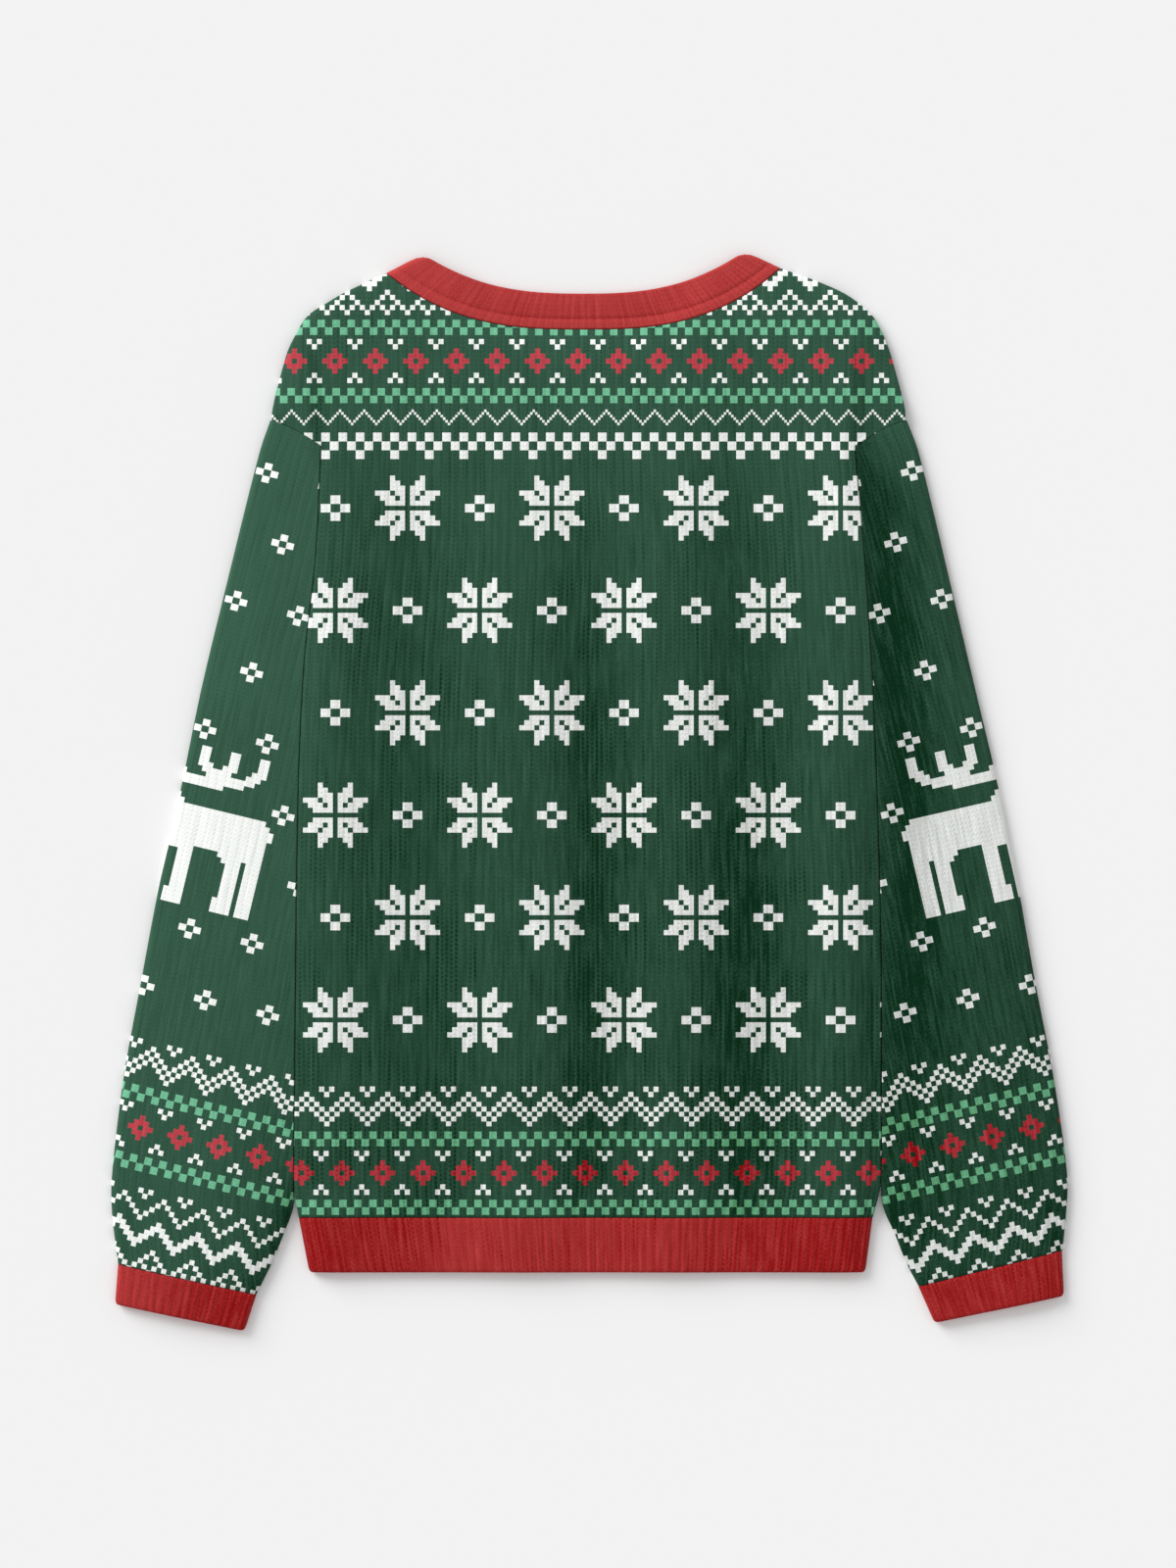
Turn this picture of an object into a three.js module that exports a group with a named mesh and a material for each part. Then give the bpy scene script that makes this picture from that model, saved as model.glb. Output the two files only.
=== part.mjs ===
// Crew-neck sweater with drop shoulders, laid flat on its front with the back up and the arms
// down along the body. Millimetres: X runs across the body, Y from the hem to the collar, and
// Z up from the surface that it lies on. The origin is under the middle of its outline.

import * as THREE from 'three';

const { lerp, smoothstep, clamp } = THREE.MathUtils;

// Knit
const wall = 2.8;
const seamGap = 0.3; // between neighbouring pieces
const edgeRadius = 5; // rounding of a panel's edge
const edgeThickness = 0.45; // share of the wall that is left at a rounded edge
const ribHeight = 0.6;
const ribPitch = 6;
const edgeTurn = 1.2; // first step in from a tube's folded edge
const seamDip = 0.6; // how far a tube sinks at a seam and at its open end
const plainPitch = 18; // spacing of the points on plain faces
const frontPitch = 12; // the same on the front panel, whose neckline is steeper
const sleevePlainCount = 6; // steps across the plain faces of a sleeve and a cuff
const faceInset = 0.7; // how far a panel's inner face stops inside its outer face

// Body below the armholes: a row for each height, with its two side edges
const bodySides = [
  { y: -293, left: -200.7, right: 195.3 },
  { y: -270, left: -203.7, right: 200.5 },
  { y: -200, left: -203.4, right: 201.3 },
  { y: -125, left: -202.7, right: 201.3 },
  { y: -50, left: -201.8, right: 199.8 },
  { y: 25, left: -200.1, right: 197.4 },
  { y: 95, left: -196.2, right: 194.2 },
  { y: 165, left: -188.6, right: 189.4 },
  { y: 238.8, left: -185.1, right: 183.2 },
];
const armholeCorner = bodySides[bodySides.length - 1];
const hemSeam = bodySides[0];

// Shoulders: a row for each point of the outline, from the sleeve's tip to the neck corner
const shoulders = [
  { leftX: -220.3, leftY: 256.8, rightX: 218.9, rightY: 256.8 },
  { leftX: -216.2, leftY: 275.7, rightX: 214.9, rightY: 275.7 },
  { leftX: -208.8, leftY: 302.7, rightX: 207.4, rightY: 302.7 },
  { leftX: -203.4, leftY: 314.5, rightX: 202.6, rightY: 315.5 },
  { leftX: -195.1, leftY: 328, rightX: 195.6, rightY: 328.1 },
  { leftX: -182.7, leftY: 336.7, rightX: 186.8, rightY: 336.6 },
  { leftX: -170.3, leftY: 344.1, rightX: 175, rightY: 344.6 },
  { leftX: -155.5, leftY: 351.2, rightX: 157.4, rightY: 352.4 },
  { leftX: -140.5, leftY: 358.1, rightX: 132.1, rightY: 361.5 },
];
const sleeveTip = shoulders[0];
const neckCorner = shoulders[shoulders.length - 1];
const tipInset = 1.3; // the last column of a panel stops this far inside the sleeve's tip
const armholeBow = 1.8; // how far the armhole seam bows up from a straight line

// Necklines: the lowest height of each curve and how fast it climbs to its corners
const backNeck = { seamY: 319.3, freeY: 343.5, power: 2.9 };
const frontNeck = { seamY: 254, freeY: 277, power: 2.4 };
const neckPeak = { leftX: -115.2, leftY: 369.6, rightX: 107, rightY: 371.6 };

// Sleeves: the outer edge at each height, and the inner edge below the body
const sleeveOuter = [
  { y: -325.3, left: -325.4, right: 325.4 },
  { y: -290, left: -329.6, right: 328.9 },
  { y: -265, left: -329.7, right: 329.7 },
  { y: -197, left: -321.6, right: 320.3 },
  { y: -130, left: -309.5, right: 307.4 },
  { y: -62, left: -296.6, right: 295.3 },
  { y: 5, left: -281.6, right: 281.8 },
  { y: 73, left: -267.6, right: 265.8 },
  { y: 140, left: -251.4, right: 250 },
  { y: 235, left: -227.7, right: 227 },
  { y: 256.8, left: -220.3, right: 218.9 },
];
const sleeveInner = [
  { y: -346.5, left: -230.1, right: 230.1 },
  { y: -325, left: -219.4, right: 218.8 },
  { y: -304, left: -210.8, right: 210.3 },
  { y: -286, left: -204.4, right: 202.5 },
  { y: -270, left: -204, right: 200.8 },
];
const sleeveEndRows = [-286, -304, -325]; // sections below the body
const armholeSlant = 18; // how much higher a section's outer end lies, at the armhole

// Cuffs: the four corners of each, where it meets the sleeve and where the hand comes out
const cuffs = {
  left: {
    seamOuter: [-325.4, -325.3], seamInner: [-230.1, -346.5],
    endOuter: [-327.5, -353.1], endInner: [-238.2, -371.6],
  },
  right: {
    seamOuter: [325.9, -315.8], seamInner: [227, -340.6],
    endOuter: [327.4, -347.3], endInner: [238, -366],
  },
};

// Hem band
const hemEndY = -331.1;
const hemEndLeft = -193.4;
const hemEndRight = 190.2;
const hemCorner = 1.8; // how much the band's lower corners are cut back

// Heights above the surface that the sweater lies on
const backLevel = wall + seamGap; // inner face of the back where it meets the front
const seamRise = 14; // the back climbs from its seams over this distance
const bodyPuff = 0.9; // air between the front and the back
const neckSag = 1.6; // how far the back sinks where only the open neck is under it
const sagStart = 10;
const sagLength = 34;

// Long soft folds of the body: crest lines from collar end to hem end, half width and height
const bodyFolds = [
  { topX: -62, topY: 230, endX: -48, endY: -331, width: 30, height: 2.1 },
  { topX: 48, topY: 215, endX: 61, endY: -331, width: 27, height: 2.2 },
  { topX: -168, topY: 200, endX: -181, endY: -331, width: 17, height: 1.4 },
  { topX: 166, topY: 255, endX: 176, endY: -331, width: 22, height: 2 },
];
const foldFade = 110; // a fold grows to its full height over this length

// Sleeve folds: where across the sleeve the crest lies, from the body's side to the outer edge
const sleeveFolds = {
  left: { crest: 0.55, width: 0.3, height: 1.5 },
  right: { crest: 0.66, width: 0.28, height: 1.6 },
};

const knitGreen = new THREE.MeshStandardMaterial({ color: '#294a39', roughness: 0.92, metalness: 0 });
const ribRed = new THREE.MeshStandardMaterial({ color: '#9c2c2d', roughness: 0.92, metalness: 0 });

// Value of a table's column at a place in another column, on a smooth curve through its rows
function along(table, from, to, at) {
  const order = table[0][from] <= table[table.length - 1][from] ? table : [...table].reverse();
  const last = order.length - 1;
  let row = 0;
  while (row < last - 1 && order[row + 1][from] < at) row += 1;
  const slope = (a, b) => (order[b][to] - order[a][to]) / (order[b][from] - order[a][from]);
  const step = order[row + 1][from] - order[row][from];
  const t = clamp((at - order[row][from]) / step, 0, 1);
  const startSlope = slope(Math.max(row - 1, 0), row + 1) * step;
  const endSlope = slope(row, Math.min(row + 2, last)) * step;
  const start = order[row][to];
  const end = order[row + 1][to];
  return start * (1 + 2 * t) * (1 - t) ** 2 + end * t * t * (3 - 2 * t)
    + startSlope * t * (1 - t) ** 2 - endSlope * t * t * (1 - t);
}

// Quarter-round rise from 0 at an edge to 1 at the given distance from it
function rounded(distance, radius) {
  const t = clamp(distance / radius, 0, 1);
  return Math.sqrt(1 - (1 - t) ** 2);
}

// Curve of a neckline: lowest at its middle, climbing to a corner on each side
function neckCurve(corner, lowY, power, x, narrower = 0) {
  const middle = (corner.leftX + corner.rightX) / 2;
  const half = (corner.rightX - corner.leftX) / 2 - narrower;
  const cornerY = x < middle ? corner.leftY : corner.rightY;
  return lowY + (cornerY - lowY) * (Math.abs(x - middle) / half) ** power;
}

const shoulderLeft = shoulders.map(({ leftX, leftY }) => ({ x: leftX, y: leftY }));
const shoulderRight = shoulders.map(({ rightX, rightY }) => ({ x: rightX, y: rightY }));

// Top edge of a body panel at a place across it, with the neckline of the front or the back
function panelTop(neck, x) {
  if (x < neckCorner.leftX) return along(shoulderLeft, 'x', 'y', x);
  if (x > neckCorner.rightX) return along(shoulderRight, 'x', 'y', x);
  return neckCurve(neckCorner, neck.seamY, neck.power, x);
}

// Armhole seam of one side, from the body's corner at 0 to the sleeve's tip at 1
function armhole(side, share) {
  const tipX = side === 'left' ? sleeveTip.leftX : sleeveTip.rightX;
  const x = lerp(armholeCorner[side], tipX, share);
  const y = lerp(armholeCorner.y, sleeveTip.leftY, share) + armholeBow * Math.sin(Math.PI * share);
  return { x, y };
}

function foldHeight(fold, x, y) {
  const down = clamp((fold.topY - y) / (fold.topY - fold.endY), 0, 1);
  const crest = lerp(fold.topX, fold.endX, down);
  const grown = smoothstep(fold.topY - y, 0, foldFade);
  return fold.height * grown * Math.exp(-(((x - crest) / fold.width) ** 2));
}

const foldsAt = (x, y) => bodyFolds.reduce((sum, fold) => sum + foldHeight(fold, x, y), 0);

// Inner face of the back, with its folds, and its sag inside the front's neckline
function backLevelAt(x, y, seamDistance) {
  const rise = smoothstep(seamDistance, 0, seamRise);
  const middle = (neckPeak.leftX + neckPeak.rightX) / 2;
  const inside = Math.abs(x - middle) < neckPeak.rightX - middle;
  const past = inside ? y - neckCurve(neckPeak, frontNeck.freeY, frontNeck.power, x) : 0;
  const sag = (neckSag + bodyPuff) * smoothstep(past, sagStart, sagStart + sagLength);
  return backLevel + rise * (bodyPuff + foldsAt(x, y)) - sag;
}

// Points and triangles of one closed piece
class Piece {
  constructor() {
    this.points = [];
    this.triangles = [];
  }

  add(x, y, z) {
    this.points.push(x, y, z);
    return this.points.length / 3 - 1;
  }

  distance(a, b) {
    const p = this.points;
    return Math.hypot(p[3 * a] - p[3 * b], p[3 * a + 1] - p[3 * b + 1], p[3 * a + 2] - p[3 * b + 2]);
  }

  // Triangles between two rows of points that match from their last points back. What a longer
  // row has more fans out from the first point of the shorter one.
  join(lower, upper) {
    const lead = lower.length - upper.length;
    this.zip(lower, upper, (i, j) => i - j <= lead);
  }

  // Triangles between two rows that run side by side with points at different places
  stitch(lower, upper) {
    const gap = (a, b) => this.distance(lower[a], upper[b]);
    this.zip(lower, upper, (i, j) => gap(i + 1, j) <= gap(i, j + 1));
  }

  zip(lower, upper, lowerIsNext) {
    let i = 0;
    let j = 0;
    while (i < lower.length - 1 || j < upper.length - 1) {
      const lowerDone = i === lower.length - 1;
      const upperDone = j === upper.length - 1;
      if (!lowerDone && (upperDone || lowerIsNext(i, j))) {
        this.triangles.push(lower[i], lower[i + 1], upper[j]);
        i += 1;
      } else {
        this.triangles.push(lower[i], upper[j + 1], upper[j]);
        j += 1;
      }
    }
  }

  mesh(name, material) {
    const geometry = new THREE.BufferGeometry();
    geometry.setAttribute('position', new THREE.Float32BufferAttribute(this.points, 3));
    geometry.setIndex(this.volume() > 0 ? this.triangles : [...this.triangles].reverse());
    geometry.computeVertexNormals();
    const mesh = new THREE.Mesh(geometry, material.clone());
    mesh.name = name;
    return mesh;
  }

  volume() {
    const corner = (index) => new THREE.Vector3().fromArray(this.points, 3 * index);
    let sum = 0;
    for (let t = 0; t < this.triangles.length; t += 3) {
      const [a, b, c] = this.triangles.slice(t, t + 3).map(corner);
      sum += a.dot(b.cross(c)) / 6;
    }
    return sum;
  }
}

const upperShares = [0.3, 0.6, 0.82, 0.95, 1]; // heights of the rows above the armhole corners

// One face of a body panel. Its columns of points run from the hem seam up to the neckline or
// shoulder, and more columns stand on each armhole seam. Returns the four stretches of its edge.
function panelFace(piece, neck, pitch, inset, level, facesUp) {
  const width = armholeCorner.right - armholeCorner.left;
  const mainCount = 2 * Math.round(width / pitch / 2);
  const wingCount = Math.max(2, 2 * Math.round((armholeCorner.left - sleeveTip.leftX) / pitch / 2));
  const isCrest = (column) => Math.abs(column % 2) === 1;

  const lowerRows = bodySides.map(({ y, left, right }, row) => {
    const rowY = row === 0 ? y + inset : y;
    const indices = [];
    for (let column = 0; column <= mainCount; column += 1) {
      const x = lerp(left + inset, right - inset, column / mainCount);
      const side = Math.min(x - left, right - x);
      indices.push(piece.add(x, rowY, level(x, rowY, side, rowY - hemSeam.y, isCrest(column))));
    }
    return indices;
  });
  const cornerRow = lowerRows[lowerRows.length - 1];

  // Feet of the upper columns, from the left sleeve tip across to the right one
  const feet = [];
  for (let column = -wingCount; column <= mainCount + wingCount; column += 1) {
    if (column < 0 || column > mainCount) {
      const side = column < 0 ? 'left' : 'right';
      const steps = column < 0 ? -column : column - mainCount;
      const span = Math.abs(armhole(side, 1).x - armholeCorner[side]) - tipInset;
      const share = (steps / wingCount) * (span / (span + tipInset));
      const { x, y } = armhole(side, share);
      feet.push({ x, y: y + inset, column, wing: true });
    } else {
      const x = lerp(armholeCorner.left + inset, armholeCorner.right - inset, column / mainCount);
      feet.push({ x, y: armholeCorner.y, column, index: cornerRow[column] });
    }
  }
  const edgeX = { left: feet[0].x, right: feet[feet.length - 1].x };
  const upperPoint = (foot, share) => {
    const top = panelTop(neck, foot.x) - inset;
    const y = lerp(foot.y, top, share);
    const side = foot.wing ? Math.min(foot.x - edgeX.left, edgeX.right - foot.x) + 1 : Infinity;
    const below = foot.wing ? y - foot.y + 1 : Infinity;
    const distance = Math.min(side, below, (top - y) + 0.01);
    return piece.add(foot.x, y, level(foot.x, y, distance, Infinity, isCrest(foot.column)));
  };
  const footRow = feet.map((foot) => foot.index ?? upperPoint(foot, 0));
  const upperRows = [footRow, ...upperShares.map((share) => feet.map((foot) => upperPoint(foot, share)))];

  for (const rows of [lowerRows, upperRows]) {
    for (let row = 0; row < rows.length - 1; row += 1) {
      if (facesUp) piece.join(rows[row], rows[row + 1]);
      else piece.join(rows[row + 1], rows[row]);
    }
  }

  const topRow = upperRows[upperRows.length - 1];
  const leftEdge = [
    ...lowerRows.map((row) => row[0]),
    ...footRow.slice(0, wingCount).reverse(),
    ...upperRows.slice(1).map((row) => row[0]),
  ];
  const rightEdge = [
    ...lowerRows.map((row) => row[mainCount]),
    ...footRow.slice(-wingCount),
    ...upperRows.slice(1).map((row) => row[row.length - 1]),
  ];
  return [lowerRows[0], rightEdge, [...topRow].reverse(), leftEdge.reverse()];
}

// A body panel: its upper and lower faces, closed all round the edge
function panel(name, neck, upper, lower) {
  const piece = new Piece();
  const above = panelFace(piece, neck, upper.pitch, upper.inset, upper.level, true);
  const below = panelFace(piece, neck, lower.pitch, lower.inset, lower.level, false);
  above.forEach((stretch, index) => piece.stitch(below[index], stretch));
  return piece.mesh(name, knitGreen);
}

function backPanel() {
  const outer = (x, y, edge, hem, isCrest) => {
    const thickness = wall * lerp(edgeThickness, 1, rounded(Math.min(edge, hem + 1), edgeRadius));
    return backLevelAt(x, y, edge) + thickness + (isCrest ? ribHeight : 0);
  };
  return panel('back_panel', backNeck,
    { pitch: ribPitch / 2, inset: 0, level: outer },
    { pitch: plainPitch, inset: faceInset, level: backLevelAt });
}

// The front lies flat on the surface, so its outer face is plain and only its edge turns up
function frontPanel() {
  const outer = (x, y, edge) => wall * (1 - edgeThickness) * (1 - rounded(edge, edgeRadius));
  return panel('front_panel', frontNeck,
    { pitch: frontPitch, inset: faceInset, level: () => wall },
    { pitch: frontPitch, inset: 0, level: outer });
}

// A knitted tube lying flat. Each section gives its two ends, the level of the cavity's roof at a
// share of the way across, and the wall. Ribs stand on the side that faces up. With a rib count
// they spread evenly over each section, and without one they keep their pitch from its outer end
// and run out at its inner edge.
function flatTube(name, material, sections, plainCount, ribCount) {
  const piece = new Piece();
  const rings = sections.map(({ from, to, roof, seam, bow = 0 }) => {
    const width = Math.hypot(to.x - from.x, to.y - from.y);
    const at = (share, z) => piece.add(
      lerp(from.x, to.x, share),
      lerp(from.y, to.y, share) + bow * Math.sin(Math.PI * share),
      z,
    );
    const roofAt = (share) => roof(share, Math.min(share, 1 - share) * width);
    const turned = (share) => rounded(Math.min(share, 1 - share) * width, edgeRadius);
    const crown = (share, rib) => lerp(wall, roofAt(share) + wall - seam + rib, turned(share));
    const floor = (share) => wall * (1 - turned(share));

    const turn = edgeTurn / width;
    const span = width - 2 * edgeTurn;
    const columnCount = ribCount ? 2 * ribCount : Math.floor((2 * span) / ribPitch - 0.4);
    const step = ribCount ? span / columnCount : ribPitch / 2;
    const top = [at(0, wall), at(turn, crown(turn, 0))];
    for (let column = columnCount - 1; column >= 1; column -= 1) {
      const share = 1 - turn - (column * step) / width;
      top.push(at(share, crown(share, column % 2 === 1 ? ribHeight : 0)));
    }
    top.push(at(1 - turn, crown(1 - turn, 0)), at(1, wall));

    const bottom = [top[top.length - 1], at(1 - turn, floor(1 - turn))];
    for (let column = plainCount; column >= 0; column -= 1) {
      const share = lerp(edgeRadius / width, 1 - edgeRadius / width, column / plainCount);
      bottom.push(at(share, floor(share)));
    }
    bottom.push(at(turn, floor(turn)), top[0]);

    const inset = wall / width;
    const cavityEdge = wall + seamGap / 2;
    const inner = [at(inset, cavityEdge)];
    for (let column = 1; column < plainCount; column += 1) {
      const share = lerp(inset, 1 - inset, column / plainCount);
      inner.push(at(share, roofAt(share)));
    }
    inner.push(at(1 - inset, cavityEdge));
    for (let column = plainCount - 1; column >= 1; column -= 1) {
      inner.push(at(lerp(inset, 1 - inset, column / plainCount), wall));
    }
    inner.push(inner[0]);
    return { top, bottom, inner };
  });
  closeTube(piece, rings);
  return piece.mesh(name, material);
}

// Outer and inner faces of a tube, and the rings that close its wall at the two ends
function closeTube(piece, rings) {
  for (let ring = 1; ring < rings.length; ring += 1) {
    const before = rings[ring - 1];
    const after = rings[ring];
    piece.join(before.top.slice(0, 2), after.top.slice(0, 2));
    piece.join(before.top.slice(1), after.top.slice(1));
    piece.join(before.bottom, after.bottom);
    piece.join(after.inner, before.inner);
  }
  const outline = ({ top, bottom }) => [...top, ...bottom.slice(1)];
  const last = rings[rings.length - 1];
  piece.stitch(rings[0].inner, outline(rings[0]));
  piece.stitch(outline(last), last.inner);
}

// Roof of a sleeve or cuff: low beside the body and at the outer edge, with one soft crest
function sleeveRoof(side, down, share, edge) {
  const { crest, width, height } = sleeveFolds[side];
  const swell = height * Math.exp(-(((share - crest) / width) ** 2));
  const grown = smoothstep(down, 0, 0.25);
  return wall + seamGap + smoothstep(edge, 0, seamRise) * (0.3 + swell * grown);
}

function sleeve(side) {
  const outward = side === 'left' ? -1 : 1;
  const { seamOuter, seamInner } = cuffs[side];
  const besideBody = bodySides.slice(1).map(({ y }) => y).reverse();
  const rows = [...besideBody, ...sleeveEndRows, seamInner[1]];
  const endSlant = seamOuter[1] - seamInner[1];
  const sections = rows.map((innerY, row) => {
    const down = (innerY - armholeCorner.y) / (seamInner[1] - armholeCorner.y);
    const first = row === 0;
    const last = row === rows.length - 1;
    const innerX = row < besideBody.length
      ? along(bodySides, 'y', side, innerY) + outward * seamGap
      : along(sleeveInner, 'y', side, innerY);
    const outerY = innerY + lerp(armholeSlant, endSlant, down);
    const outerX = along(sleeveOuter, 'y', side, outerY);
    const gap = first ? seamGap : 0;
    return {
      from: last ? { x: seamInner[0], y: seamInner[1] } : { x: innerX, y: innerY - gap },
      to: last ? { x: seamOuter[0], y: seamOuter[1] } : { x: outerX, y: outerY - gap },
      bow: first ? armholeBow : 0,
      seam: first || last ? seamDip : 0,
      roof: (share, edge) => sleeveRoof(side, down, share, edge),
    };
  });
  return flatTube(`sleeve_${side}`, knitGreen, sections, sleevePlainCount);
}

const cuffShares = [0, 0.5, 0.93, 1]; // rows of a cuff, from the sleeve to its end

function cuff(side) {
  const { seamOuter, seamInner, endOuter, endInner } = cuffs[side];
  const between = (seam, end, share) => ({
    x: lerp(seam[0], end[0], share),
    y: lerp(seam[1], end[1], share) - (1 - share) * seamGap,
  });
  const sections = cuffShares.map((share, row) => ({
    from: between(seamInner, endInner, share),
    to: between(seamOuter, endOuter, share),
    seam: row === 0 || row === cuffShares.length - 1 ? seamDip : 0,
    roof: (across, edge) => sleeveRoof(side, 1 - share / 2, across, edge),
  }));
  const width = Math.hypot(seamOuter[0] - seamInner[0], seamOuter[1] - seamInner[1]);
  return flatTube(`cuff_${side}`, ribRed, sections, sleevePlainCount, Math.round(width / ribPitch));
}

const hemShares = [0, 0.5, 0.94, 1]; // rows of the hem band, from the body to its end

function hemBand() {
  const width = hemSeam.right - hemSeam.left;
  const sections = hemShares.map((share, row) => {
    const y = lerp(hemSeam.y - seamGap, hemEndY, share);
    const cut = row === hemShares.length - 1 ? hemCorner : 0;
    return {
      from: { x: lerp(hemSeam.left, hemEndLeft, share) + cut, y },
      to: { x: lerp(hemSeam.right, hemEndRight, share) - cut, y },
      seam: row === 0 || cut > 0 ? seamDip : 0,
      roof: (across, edge) => {
        const x = lerp(hemSeam.left, hemSeam.right, across);
        const lift = bodyPuff + foldsAt(x, y);
        return wall + seamGap + smoothstep(edge, 0, seamRise) * lerp(1, 0.5, share) * lift;
      },
    };
  });
  const plainCount = Math.round(width / plainPitch);
  return flatTube('hem_band', ribRed, sections, plainCount, Math.round(width / ribPitch));
}

// The neckband is a ring from the neck seam to its free edge. Its back half lies on the upper
// side and its front half under it, on the surface, and it folds over at the two neck corners.
const neckShares = [0, 0.25, 0.33, 0.9, 1]; // rows of the band, from its seam to its free edge
const neckDips = [seamDip, 0, 0.4, 0, seamDip]; // how far each row sinks, with a stitched line
const bandSettles = [20, 60]; // the band sinks to the back panel's level over this stretch

function neckband() {
  const piece = new Piece();
  const middle = (neckCorner.leftX + neckCorner.rightX) / 2;
  const halfWidth = (neckCorner.rightX - neckCorner.leftX) / 2;
  const ribCount = Math.round((2 * halfWidth) / ribPitch);
  const plainCount = Math.round((2 * halfWidth) / frontPitch);
  const place = (neck, share, rise) => {
    const seamX = lerp(middle - halfWidth + seamGap, middle + halfWidth - seamGap, share);
    const freeX = lerp(neckPeak.leftX, neckPeak.rightX, share);
    const seamY = neckCurve(neckCorner, neck.seamY, neck.power, seamX, seamGap) + seamGap;
    const freeY = neckCurve(neckPeak, neck.freeY, neck.power, freeX);
    return { x: lerp(seamX, freeX, rise), y: lerp(seamY, freeY, rise) };
  };
  const foldLevel = wall + seamGap / 2;
  const edgeAt = (share) => Math.min(share, 1 - share) * 2 * halfWidth;
  const under = (x, y, share) => {
    const sag = backLevel + bodyPuff - backLevelAt(x, y, seamRise);
    return backLevel - sag * smoothstep(edgeAt(share), ...bandSettles);
  };
  const rings = neckShares.map((rise, row) => {
    const dip = neckDips[row];
    const top = [];
    for (let column = 0; column <= 2 * ribCount; column += 1) {
      const share = column / (2 * ribCount);
      const { x, y } = place(backNeck, share, rise);
      const rib = column % 2 === 1 ? ribHeight : 0;
      const level = under(x, y, share) + wall - dip + rib;
      top.push(piece.add(x, y, lerp(foldLevel, level, rounded(edgeAt(share), edgeRadius))));
    }
    const bottom = [top[top.length - 1]];
    for (let column = plainCount - 1; column >= 1; column -= 1) {
      const { x, y } = place(frontNeck, column / plainCount, rise);
      bottom.push(piece.add(x, y, 0));
    }
    bottom.push(top[0]);

    const inset = wall / (2 * halfWidth);
    const inner = [];
    for (let column = 0; column <= plainCount; column += 1) {
      const share = lerp(inset, 1 - inset, column / plainCount);
      const { x, y } = place(backNeck, share, rise);
      const atFold = column === 0 || column === plainCount;
      inner.push(piece.add(x, y, atFold ? foldLevel : under(x, y, share)));
    }
    for (let column = plainCount - 1; column >= 1; column -= 1) {
      const { x, y } = place(frontNeck, lerp(inset, 1 - inset, column / plainCount), rise);
      inner.push(piece.add(x, y, wall));
    }
    inner.push(inner[0]);
    return { top, bottom, inner };
  });
  closeTube(piece, rings);
  return piece.mesh('neckband', ribRed);
}

const group = new THREE.Group();
group.add(
  backPanel(),
  frontPanel(),
  sleeve('left'),
  sleeve('right'),
  cuff('left'),
  cuff('right'),
  hemBand(),
  neckband(),
);

export default group;
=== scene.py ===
import math

import bmesh
import bpy
import numpy as np
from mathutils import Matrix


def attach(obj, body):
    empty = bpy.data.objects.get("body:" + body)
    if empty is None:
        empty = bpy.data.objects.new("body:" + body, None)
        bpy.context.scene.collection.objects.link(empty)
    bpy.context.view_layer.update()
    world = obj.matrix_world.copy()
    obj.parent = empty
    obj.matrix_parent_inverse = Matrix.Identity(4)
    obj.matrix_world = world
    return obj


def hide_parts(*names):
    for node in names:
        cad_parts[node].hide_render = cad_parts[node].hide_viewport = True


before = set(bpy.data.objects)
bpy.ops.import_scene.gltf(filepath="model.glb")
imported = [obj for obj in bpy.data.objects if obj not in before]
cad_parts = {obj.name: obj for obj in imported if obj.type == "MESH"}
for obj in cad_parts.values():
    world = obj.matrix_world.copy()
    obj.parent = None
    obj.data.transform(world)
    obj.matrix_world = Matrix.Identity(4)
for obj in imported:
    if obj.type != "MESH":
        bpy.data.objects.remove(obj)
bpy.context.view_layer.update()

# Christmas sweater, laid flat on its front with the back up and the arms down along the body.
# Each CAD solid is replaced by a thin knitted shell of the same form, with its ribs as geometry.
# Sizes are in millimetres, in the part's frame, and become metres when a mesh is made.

# Knit
WALL = 2.8
SEAM_GAP = 0.3
EDGE_RADIUS = 5.0
EDGE_THICKNESS = 0.45  # share of the wall that is left at a panel's rounded edge
RIB_CROWN = 0.6  # height of a rib's crown over the wall
RIB_GROOVE = 0.36  # how far the red rib falls from there between two ribs
BODY_GROOVE = 0.15  # the same on the body
SLEEVE_GROOVE = 0.06
RIB_SHARPNESS = 1.4
RIB_PITCH = 6.0
RIB_COLUMNS = 6  # columns of points across one rib
UNDER_RIB_COLUMNS = 3  # the same on faces that lie on the floor
STITCH_HEIGHT = 3.1
ROW_STEP = 5.2  # spacing of the rows of points
EDGE_STEPS = [0.0, 0.4, 1.2, 2.5, 4.2]  # rows of points next to an edge
EDGE_CLEARANCE = 0.6  # least distance between those and the next row
INNER_STEP = 9.0  # spacing of points on inner faces
INNER_ROWS = 4  # sections of a tube to one row of its inner face
PANEL_INSET = 0.7  # how far a panel's inner face stays inside its outline

# Heights
BACK_LEVEL = WALL + SEAM_GAP
SEAM_RISE = 14.0  # distance from an edge over which the cloth rises
BODY_PUFF = 0.9
NECK_SAG = 1.6
SAG_START = 10.0
SAG_LENGTH = 34.0
SEAM_DIP = 0.8  # how far the cloth sinks into a seam
SEAM_SOFTNESS = 3.0
JOIN_GAP = 0.04  # gap beside the body, where a sleeve lies close against it
JOIN_RADIUS = 0.22  # rounding of edges that another piece lies against
JOIN_THICKNESS = 0.95  # share of the wall that is left at such an edge
ARMHOLE_DIP = 0.25
OPEN_EDGE_ROUND = 2.4
OPEN_EDGE_DROP = 0.55  # share of the wall by which an open edge falls

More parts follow.
